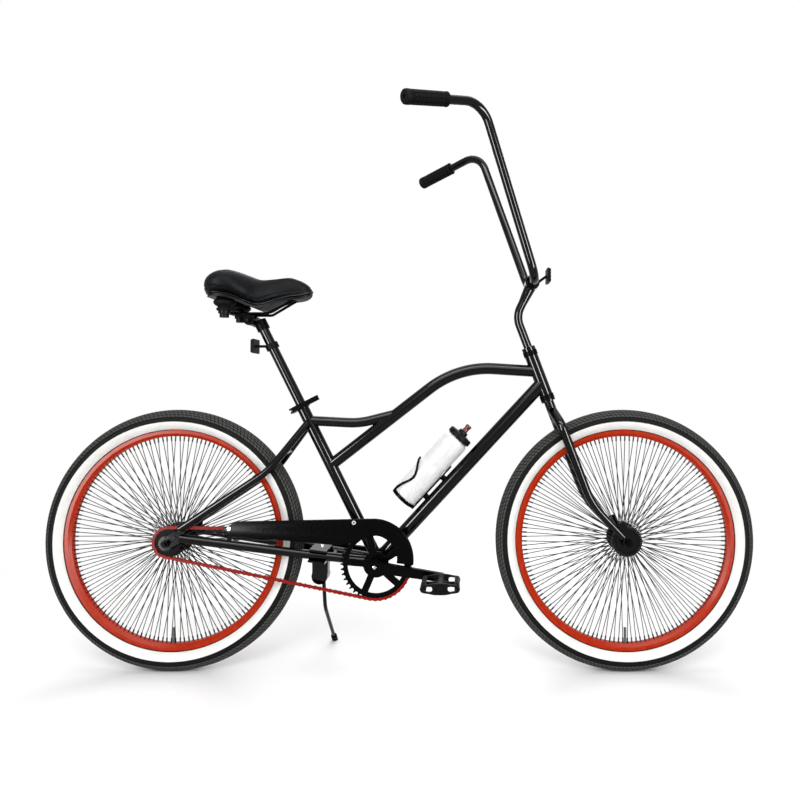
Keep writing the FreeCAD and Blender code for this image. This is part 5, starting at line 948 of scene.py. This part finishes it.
# Where a pedal starts and ends beside the bicycle, its size, and the parts of its cage
PEDAL_INNER = 84.4
PEDAL_OUTER = 176.4
PEDAL_HALF = 46
PEDAL_TALL = 13
PEDAL_WALL = 8
PEDAL_LAP = 2
PEDAL_ROUND = 0.8
PLATE_SHARP = 50
SLOT = ((38, -2.6), (38, 2.6), (35.5, 4.6), (24, 6.4), (19, 5.2), (17.5, 0), (19, -5.2), (24, -6.4),
        (35.5, -4.6))
RAIL_SETBACK = 8
RAIL_HEIGHT = 7.2
RAIL_HALF = (5.2, 2.1)
WALL_SETBACK = 3.4
WALL_HALF = (2.4, 6.5)
WEB_HALF = (PEDAL_HALF - 6, 6, 3)
PEDAL_TEETH = 8
TOOTH_MARGIN = 3
TOOTH_PHASE = 0.25
TOOTH_FOOT = 8.4
TOOTH_SIZE = (6.4, 3, 4.6)
TOOTH_ROUND = 0.6
BARREL_RADIUS = 12
BARREL_STEPS = 40
CRANK_FACE = 75
CRANK_BOLT = (4.6, 3)


def pedal_plate_outline():
    """Returns the outline of a pedal's end plate, tallest in the middle, and its two slots."""
    tall = PEDAL_TALL
    half = PEDAL_HALF
    top = [(half - 3, 5.5), (half - 8, 8.5), (26, 10.2), (17, tall - 0.8), (11, tall)]
    edge = [(half, -2.5), (half, 2.5)] + top
    edge += [(-x, y) for x, y in reversed(top)] + [(-half, 2.5), (-half, -2.5)]
    edge += [(-x, -y) for x, y in top] + [(x, -y) for x, y in reversed(top)]
    slots = [[(side * x, y) for x, y in SLOT] for side in (-1, 1)]
    return [in_metres(points) for points in [edge] + slots]


def barrel_outline(length):
    """Returns the outline of the barrel round a pedal's spindle."""
    wide = BARREL_RADIUS
    return [(0, 4), (wide - 1, 4), (wide, 5), (wide, 16), (10.4, 19), (9.8, 30), (9.8, length - 30),
            (10.4, length - 19), (wide, length - 16), (wide, length - 1.2), (wide - 1, length), (8.6, length),
            (8, length - 0.9), (3.4, length - 0.9), (3, length - 0.4), (0, length - 0.4)]


def centred_block(x, y, half, low, high):
    """Returns a rounded block about a place in local XY that runs along local Z."""
    return rounded_block((x - half[0], y - half[1], low), (x + half[0], y + half[1], high), PEDAL_ROUND)


def pedal_mesh():
    """Returns a pedal with its spindle along local Z from its inner plate to its outer plate."""
    length = PEDAL_OUTER - PEDAL_INNER
    near = PEDAL_WALL - PEDAL_LAP
    far = length - near
    pedal = bmesh.new()
    for start in (0, length - PEDAL_WALL):
        plate = flat_plate(pedal_plate_outline(), PEDAL_WALL * MM)
        round_edges(plate, sharp_edges(plate, PLATE_SHARP), PEDAL_ROUND * MM)
        add_to(pedal, plate, Matrix.Translation((0, 0, start * MM)))
    wide, tall, long = TOOTH_SIZE
    room = length - 2 * (PEDAL_WALL + TOOTH_MARGIN)
    for side in (-1, 1):
        middle = side * (PEDAL_HALF - RAIL_SETBACK)
        for height in (RAIL_HEIGHT, -RAIL_HEIGHT):
            add_to(pedal, centred_block(middle, height, RAIL_HALF, near, far))
        add_to(pedal, centred_block(side * (PEDAL_HALF - WALL_SETBACK), 0, WALL_HALF, near, far))
        for tooth in range(PEDAL_TEETH):
            start = PEDAL_WALL + TOOTH_MARGIN + room * (tooth + TOOTH_PHASE) / PEDAL_TEETH
            for low in (-TOOTH_FOOT - tall, TOOTH_FOOT):
                add_to(pedal, rounded_block((middle - wide / 2, low, start),
                                            (middle + wide / 2, low + tall, start + long), TOOTH_ROUND))
    web = length / 2
    add_to(pedal, centred_block(0, 0, WEB_HALF, web - WEB_HALF[2], web + WEB_HALF[2]))
    add_to(pedal, spun(in_metres(barrel_outline(length)), BARREL_STEPS))
    return pedal


class CRUISER_OT_pedals(Operator):
    """Model the two pedals and the bolts of the crank arms"""

    bl_idname = "cruiser.pedals"
    bl_label = "Pedals"

    def execute(self, context):
        """Models each pedal on its own spindle, and the bolt heads of both crank arms."""
        for name, side in (("left", 1), ("right", -1)):
            spindle = upright_point(f"{name}_pedal_spin")
            inner = Vector((spindle.x, side * PEDAL_INNER * MM, spindle.z))
            pedal = pedal_mesh()
            pedal.transform(placed(inner, ACROSS * side, FORWARD))
            finish_piece(pedal, f"{name}_pedal_cage", f"{name}_pedal", "pedal_plastic", [f"{name}_pedal"])
        bolts = bmesh.new()
        for side in (-1, 1):
            seat = Vector((BRACKET.x, side * CRANK_FACE * MM, BRACKET.z))
            add_to(bolts, hexagon(*CRANK_BOLT), placed(seat, ACROSS * side, UP))
        finish_piece(bolts, "crank_bolts", "crank", "black_parts", finish="bearing_steel")
        return {"FINISHED"}


# Bottle

BOTTLE_ALONG = 162
BOTTLE_ACROSS = 62
RIB_COUNT = 36
RIB_SPAN = (203, 213)
RIB_INSET = 0.35
RIB_HEIGHT = 0.4
# Name, node, body, slot, steps round the axis and outline of each piece
BOTTLE_PIECES = (
    ("bottle_shell", "bottle", "bottle", "bottle_white", 72,
     ((0, 2.2), (22, 2.2), (25, 0.2), (29, 0), (32, 1), (33.6, 3.4), (34, 7), (34, 96), (33.4, 100),
      (32.4, 104), (32, 110), (32.4, 116), (33.4, 120), (34, 124), (34, 186), (33.7, 190), (32.6, 194),
      (30.4, 197.6), (28, 199.6), (26, 201), (0, 201))),
    ("bottle_lid", "bottle_cap", "bottle", "pedal_plastic", RIB_COUNT * 2,
     ((0, 201.3), (28, 201.3), (31.8, 201.3), (32.4, 202), (32.4, 213.2), (31.6, 214.8), (29.4, 215.8),
      (16, 217), (13.6, 218), (12.6, 220), (12.2, 224.2), (11.4, 225.2), (9, 225.5), (0, 225.5))),
    ("bottle_nozzle", "bottle_spout", "bottle_spout", "spout_red", 36,
     ((0, 226), (7.4, 226), (7.4, 231), (6.8, 232.2), (6.8, 236), (7.6, 237.2), (8, 239), (8, 242),
      (7.4, 244.2), (6, 245.2), (2.4, 245.2), (2, 243), (0, 243))),
)


def bottle_place():
    """Returns the matrix of the bottle's base on the upright bicycle."""
    across = ACROSS.cross(BOTTLE_UP) * -1
    base = BRACKET + (BOTTLE_UP * BOTTLE_ALONG + across * BOTTLE_ACROSS) * MM
    return placed(base, BOTTLE_UP, ACROSS)


def raise_ribs(lid):
    """Raises every second face of the lid's side as a rib."""
    ribs = []
    for face in lid.faces:
        centre = face.calc_center_median()
        if RIB_SPAN[0] * MM < centre.z < RIB_SPAN[1] * MM and sector_of(centre, RIB_COUNT * 2) % 2 == 0:
            ribs.append(face)
    bmesh.ops.inset_individual(lid, faces=ribs, thickness=RIB_INSET * MM, depth=RIB_HEIGHT * MM)


class CRUISER_OT_bottle(Operator):
    """Model the bottle, its ribbed cap and its spout"""

    bl_idname = "cruiser.bottle"
    bl_label = "Bottle"

    def execute(self, context):
        """Spins the bottle's three pieces about its axis."""
        place = bottle_place()
        for name, node, body, slot, steps, outline in BOTTLE_PIECES:
            piece = spun(in_metres(outline), steps)
            if name == "bottle_lid":
                raise_ribs(piece)
            piece.transform(place)
            finish_piece(piece, name, body, slot, [node])
        return {"FINISHED"}


# Chain guard

GUARD_FACE = -57.5
GUARD_SHEET = 1.3
GUARD_FOLD = 4.2
GUARD_FOLD_ROUND = 2
# The round front about a place near the bracket, the angles where it ends, and the arm behind it
GUARD_CENTRE = (-6, 14)
GUARD_OUTER = 100
GUARD_INNER = 59
GUARD_FRONT = -8
GUARD_TOP = 90
GUARD_HEEL = 135
OUTER_STEPS = 30
INNER_STEPS = 26
GUARD_LONG = 372
GUARD_TAPER = 7
GUARD_TALL = 34
# How far the rear bolt is ahead of the tail, and how far both bolts are under the top
REAR_BOLT_AHEAD = 17
BOLT_DROPS = (24, 9.2)
DOME_OUTLINE = ((0, -0.5), (4.2, -0.5), (4.4, 0.4), (4, 1.5), (3, 2.4), (1.7, 2.9), (0, 3))
DOME_STEPS = 24


def guard_places():
    """Returns the middle of the guard's round front, its tail and its top in its plane, in millimetres."""
    centre = (BRACKET.x / MM + GUARD_CENTRE[0], BRACKET.z / MM + GUARD_CENTRE[1])
    return centre, centre[0] - GUARD_LONG, centre[1] + GUARD_OUTER


def guard_outline():
    """Returns the guard's outer line, from its tail over the chainring, and its inner line back."""
    centre, tail, top = guard_places()
    heel = centre[1] + GUARD_INNER * math.sin(math.radians(GUARD_HEEL)) - GUARD_TAPER
    low = top - GUARD_TAPER - GUARD_TALL
    outer = [(tail, low + 13.6), (tail + 3, low + 18), (tail + 28, top - 10.6), (tail + 36, top - 6.9)]
    outer += arc(centre, GUARD_OUTER, GUARD_TOP, GUARD_FRONT, OUTER_STEPS)
    inner = arc(centre, GUARD_INNER, GUARD_FRONT, GUARD_HEEL, INNER_STEPS)
    inner += [(centre[0] - 83, heel), (tail + 18, low), (tail + 13, low + 1), (tail + 3, low + 9.4)]
    return outer, inner


def guard_bolts():
    """Returns the places of the guard's rear and front bolts in its plane."""
    _, tail, top = guard_places()
    rear_height, front_height = (top - drop for drop in BOLT_DROPS)
    front = BRACKET.x / MM + SEAT_UP.x / SEAT_UP.z * (front_height - BRACKET.z / MM)
    return (tail + REAR_BOLT_AHEAD, rear_height), (front, front_height)


def guard_mesh():
    """Returns the guard as a sheet with a rounded fold along its outer line, facing local Z."""
    outer, inner = guard_outline()
    bm = bmesh.new()
    verts = [bm.verts.new((x * MM, y * MM, 0)) for x, y in outer + inner]
    face = bm.faces.new(verts)
    if face.normal.z < 0 or face.calc_area() == 0:
        bmesh.ops.reverse_faces(bm, faces=[face])
    folded = [bm.edges.get((verts[index], verts[index + 1])) for index in range(len(outer) - 1)]
    grown = bmesh.ops.extrude_edge_only(bm, edges=folded)
    moved = grown_verts(grown)
    bmesh.ops.translate(bm, vec=(0, 0, -GUARD_FOLD * MM), verts=moved)
    bmesh.ops.recalc_face_normals(bm, faces=bm.faces)
    round_edges(bm, [edge for edge in folded if edge.is_valid], GUARD_FOLD_ROUND * MM, 3)
    widest = max(bm.faces, key=lambda item: item.calc_area())
    widest.normal_update()
    if widest.normal.z < 0:
        bmesh.ops.reverse_faces(bm, faces=bm.faces)
    bmesh.ops.solidify(bm, geom=bm.faces[:], thickness=GUARD_SHEET * MM)
    return bm


class CRUISER_OT_guard(Operator):
    """Model the folded chain guard and the heads of its bolts"""

    bl_idname = "cruiser.guard"
    bl_label = "Chain guard"

    def execute(self, context):
        """Models the guard in its own plane beside the chain, and its bolts on it."""
        guard = guard_mesh()
        upended = Matrix(((1, 0, 0), (0, 0, -1), (0, 1, 0))).to_4x4()
        guard.transform(Matrix.Translation((0, GUARD_FACE * MM, 0)) @ upended)
        finish_piece(guard, "guard_sheet", "frame", "gloss_black", ["chain_guard"], finish="flat_black")
        for name, bolt in zip(("rear", "front"), guard_bolts()):
            head = spun(in_metres(DOME_OUTLINE), DOME_STEPS)
            seat = Vector((bolt[0], GUARD_FACE, bolt[1])) * MM
            head.transform(placed(seat, -ACROSS, UP))
            slot = "bright_steel" if name == "rear" else "gloss_black"
            finish_piece(head, f"{name}_guard_dome", "frame", slot)
        return {"FINISHED"}


# Reflectors

LENS_WIDE = 45
LENS_TALL = 31
LENS_PROUD = 0.3
REFLECTOR_LENS = 3
LENS_THICK = 1.2
LENS_ANGLE = 20
# Cells across and down a lens, and how far each is inset and raised
LENS_CELLS = (12, 6)
CELL_INSET = 0.5
# Where the reflectors are: the front one from the bar's clamp, the rear one up the seat tube and back
FRONT_REFLECTOR = Vector((44, 0, 20))
REAR_REFLECTOR_RISE = 610.5
REAR_REFLECTOR_BACK = 46


def lens_mesh():
    """Returns a flat lens with a moulded grid of raised cells, facing local Z."""
    bm = bmesh.new()
    bmesh.ops.create_grid(bm, x_segments=LENS_CELLS[0], y_segments=LENS_CELLS[1], size=0.5)
    bmesh.ops.scale(bm, vec=(LENS_WIDE * MM, LENS_TALL * MM, 1), verts=bm.verts)
    bmesh.ops.inset_individual(bm, faces=bm.faces[:], thickness=CELL_INSET * MM, depth=CELL_INSET * MM)
    edge = [item for item in bm.edges if item.is_boundary]
    grown = bmesh.ops.extrude_edge_only(bm, edges=edge)
    moved = grown_verts(grown)
    bmesh.ops.translate(bm, vec=(0, 0, -LENS_THICK * MM), verts=moved)
    bmesh.ops.holes_fill(bm, edges=[item for item in bm.edges if item.is_boundary], sides=0)
    bmesh.ops.recalc_face_normals(bm, faces=bm.faces)
    return bm


class CRUISER_OT_lenses(Operator):
    """Model the lenses of the front and rear reflectors"""

    bl_idname = "cruiser.lenses"
    bl_label = "Reflector lenses"

    def execute(self, context):
        """Lays one lens over the face of each reflector."""
        front = BAR_CENTRE + FRONT_REFLECTOR * MM
        rear = BRACKET + (SEAT_UP * REAR_REFLECTOR_RISE - FORWARD * REAR_REFLECTOR_BACK) * MM
        rows = (("front", front, FORWARD, "stem"), ("rear", rear, -FORWARD, "seat_post"))
        for name, centre, facing, body in rows:
            face = centre + facing * (REFLECTOR_LENS + LENS_PROUD) * MM
            lens = lens_mesh()
            lens.transform(placed(face, facing, ACROSS))
            finish_piece(lens, f"{name}_lens", body, "reflector_plastic", finish=f"{name}_lens",
                         smooth_angle=LENS_ANGLE)
        return {"FINISHED"}


# Finishes of the solids

# Nodes of flat plate or matt shells in the record's gloss black, which take the flatted enamel
FLAT_NODES = ("crank_arms", "chainring", "rear_hub")


class CRUISER_OT_finishes(Operator):
    """Build the finishes and paint every solid with its own"""

    bl_idname = "cruiser.finishes"
    bl_label = "Finishes"

    def execute(self, context):
        """Gives each node the finish of its slot in the record."""
        FINISHES.update(make_finishes())
        for row in RECORD["subparts"]:
            obj = frame["nodes"][row["node"]]
            slot = "flat_black" if row["node"] in FLAT_NODES else row["material_slot"]
            obj.data.materials.clear()
            obj.data.materials.append(FINISHES[slot])
        return {"FINISHED"}


# Stage

CAMERA_PLACE = (0.169, -1.8198, 0.786)
CAMERA_LENS = 31.25
CAMERA_SHIFT = (-0.0828, -0.0525)
FLOOR_RADIUS = 1.9
FLOOR_FADE = 1.2
FLOOR_DROP = 0.5 * MM
FLOOR_STEPS = 96
FLOOR_ROUGHNESS = 0.9
FLOOR_SPECULAR = 0.1
# Name, place, target, size and power of each lamp, and whether it lights matt surfaces too
LAMPS = (
    ("overhead_softbox", (0.1, 0.2, 3.2), (0.0, 0.0, 0.4), (2.8, 2.4), 40, True),
    ("front_softbox", (0.1, -2.6, 2.4), (0.0, 0.0, 0.6), (2.6, 1.6), 70, True),
    ("back_softbox", (0.1, 2.6, 2.4), (0.0, 0.0, 0.6), (2.6, 1.6), 40, True),
    ("high_strip", (0.0, -1.7, 3.0), (0.0, 0.0, 0.6), (3.4, 0.6), 130, False),
    ("left_strip", (-2.0, -2.5, 0.9), (0.0, 0.0, 0.7), (0.7, 2.2), 300, False),
    ("right_strip", (2.2, -2.4, 0.9), (0.1, 0.0, 0.7), (0.7, 2.2), 300, False),
)
WORLD_LIGHT = 0.4


def make_world(colour):
    """Makes a white surround that the camera and reflections see at full strength."""
    world = bpy.data.worlds.new("studio")
    tree = empty_tree(world)
    path = add_node(tree, "ShaderNodeLightPath")
    seen = path.outputs["Is Camera Ray"]
    for ray in ("Is Glossy Ray", "Is Transmission Ray"):
        either = add_node(tree, "ShaderNodeMath", {0: seen, 1: path.outputs[ray]}, operation="MAXIMUM")
        seen = either.outputs[0]
    soft = add_node(tree, "ShaderNodeBackground", {"Color": colour, "Strength": WORLD_LIGHT})
    white = add_node(tree, "ShaderNodeBackground", {"Color": colour, "Strength": 1.0})
    mixed = add_node(tree, "ShaderNodeMixShader", {0: seen, 1: soft.outputs[0], 2: white.outputs[0]})
    add_node(tree, "ShaderNodeOutputWorld", {"Surface": mixed.outputs[0]})
    return world


def floor_finish(colour):
    """Makes matt white paper that fades out at its rim, so that it runs into the backdrop."""
    material = bpy.data.materials.new("Matt white paper")
    tree = empty_tree(material)
    place = add_node(tree, "ShaderNodeTexCoord")
    reach = add_node(tree, "ShaderNodeVectorMath", {0: place.outputs["Object"]}, operation="LENGTH")
    fade = add_node(tree, "ShaderNodeMapRange", {"Value": reach.outputs["Value"], "From Min": FLOOR_FADE,
                                                 "From Max": FLOOR_RADIUS}, interpolation_type="SMOOTHSTEP")
    paper = add_node(tree, "ShaderNodeBsdfPrincipled", {"Base Color": colour, "Roughness": FLOOR_ROUGHNESS,
                                                        "Specular IOR Level": FLOOR_SPECULAR})
    clear = add_node(tree, "ShaderNodeBsdfTransparent")
    mixed = add_node(tree, "ShaderNodeMixShader", {0: fade.outputs["Result"], 1: paper.outputs[0],
                                                   2: clear.outputs[0]})
    add_node(tree, "ShaderNodeOutputMaterial", {"Surface": mixed.outputs[0]})
    return material


class CRUISER_OT_stage(Operator):
    """Make the floor, the lamps, the backdrop and the camera"""

    bl_idname = "cruiser.stage"
    bl_label = "Stage"

    def execute(self, context):
        """Makes the plain studio round the bicycle."""
        scene = context.scene
        colour = (*scene.cruiser_sizes.backdrop, 1)
        scene.view_settings.view_transform = "Standard"
        scene.world = make_world(colour)
        bm = bmesh.new()
        bmesh.ops.create_circle(bm, cap_ends=True, radius=FLOOR_RADIUS, segments=FLOOR_STEPS)
        bmesh.ops.translate(bm, vec=(0, 0, CAD_BOX[0][2] - FLOOR_DROP), verts=bm.verts)
        mesh = bpy.data.meshes.new("paper_floor")
        bm.to_mesh(mesh)
        bm.free()
        mesh.materials.append(floor_finish(colour))
        floor = bpy.data.objects.new("paper_floor", mesh)
        scene.collection.objects.link(floor)
        for name, place, target, size, power, lights_matt in LAMPS:
            lamp = bpy.data.lights.new(name, "AREA")
            lamp.shape = "RECTANGLE"
            lamp.size = size[0]
            lamp.size_y = size[1]
            lamp.energy = power
            obj = bpy.data.objects.new(name, lamp)
            obj.location = place
            obj.rotation_euler = (Vector(target) - Vector(place)).to_track_quat("-Z", "Y").to_euler()
            obj.visible_diffuse = lights_matt
            scene.collection.objects.link(obj)
        lens = bpy.data.cameras.new("photo_camera")
        lens.lens = CAMERA_LENS
        lens.shift_x = CAMERA_SHIFT[0]
        lens.shift_y = CAMERA_SHIFT[1]
        camera = bpy.data.objects.new("photo_camera", lens)
        camera.location = CAMERA_PLACE
        camera.rotation_euler = (math.radians(90), 0, 0)
        scene.collection.objects.link(camera)
        scene.camera = camera
        return {"FINISHED"}


# Add-on


class CRUISER_PT_panel(Panel):
    """Lists the steps that dress the bicycle"""

    bl_idname = "CRUISER_PT_panel"
    bl_label = "Beach cruiser"
    bl_space_type = "VIEW_3D"
    bl_region_type = "UI"
    bl_category = "Cruiser"

    def draw(self, context):
        """Draws the sizes and one button for each step."""
        layout = self.layout
        sizes = context.scene.cruiser_sizes
        for name in CruiserSizes.__annotations__:
            layout.prop(sizes, name)
        for step in STEPS:
            layout.operator(step.bl_idname)


STEPS = (CRUISER_OT_finishes, CRUISER_OT_tyres, CRUISER_OT_saddle, CRUISER_OT_grips, CRUISER_OT_pedals,
         CRUISER_OT_bottle, CRUISER_OT_guard, CRUISER_OT_lenses, CRUISER_OT_stage)
CLASSES = (CruiserSizes, *STEPS, CRUISER_PT_panel)


def register():
    """Registers the add-on's classes and its sizes."""
    for item in CLASSES:
        bpy.utils.register_class(item)
    bpy.types.Scene.cruiser_sizes = PointerProperty(type=CruiserSizes)


def unregister():
    """Removes the add-on's classes and its sizes."""
    del bpy.types.Scene.cruiser_sizes
    for item in reversed(CLASSES):
        bpy.utils.unregister_class(item)


def main():
    """Runs every step in order."""
    register()
    for step in STEPS:
        group, name = step.bl_idname.split(".")
        getattr(getattr(bpy.ops, group), name)()


if __name__ == "__main__":
    main()
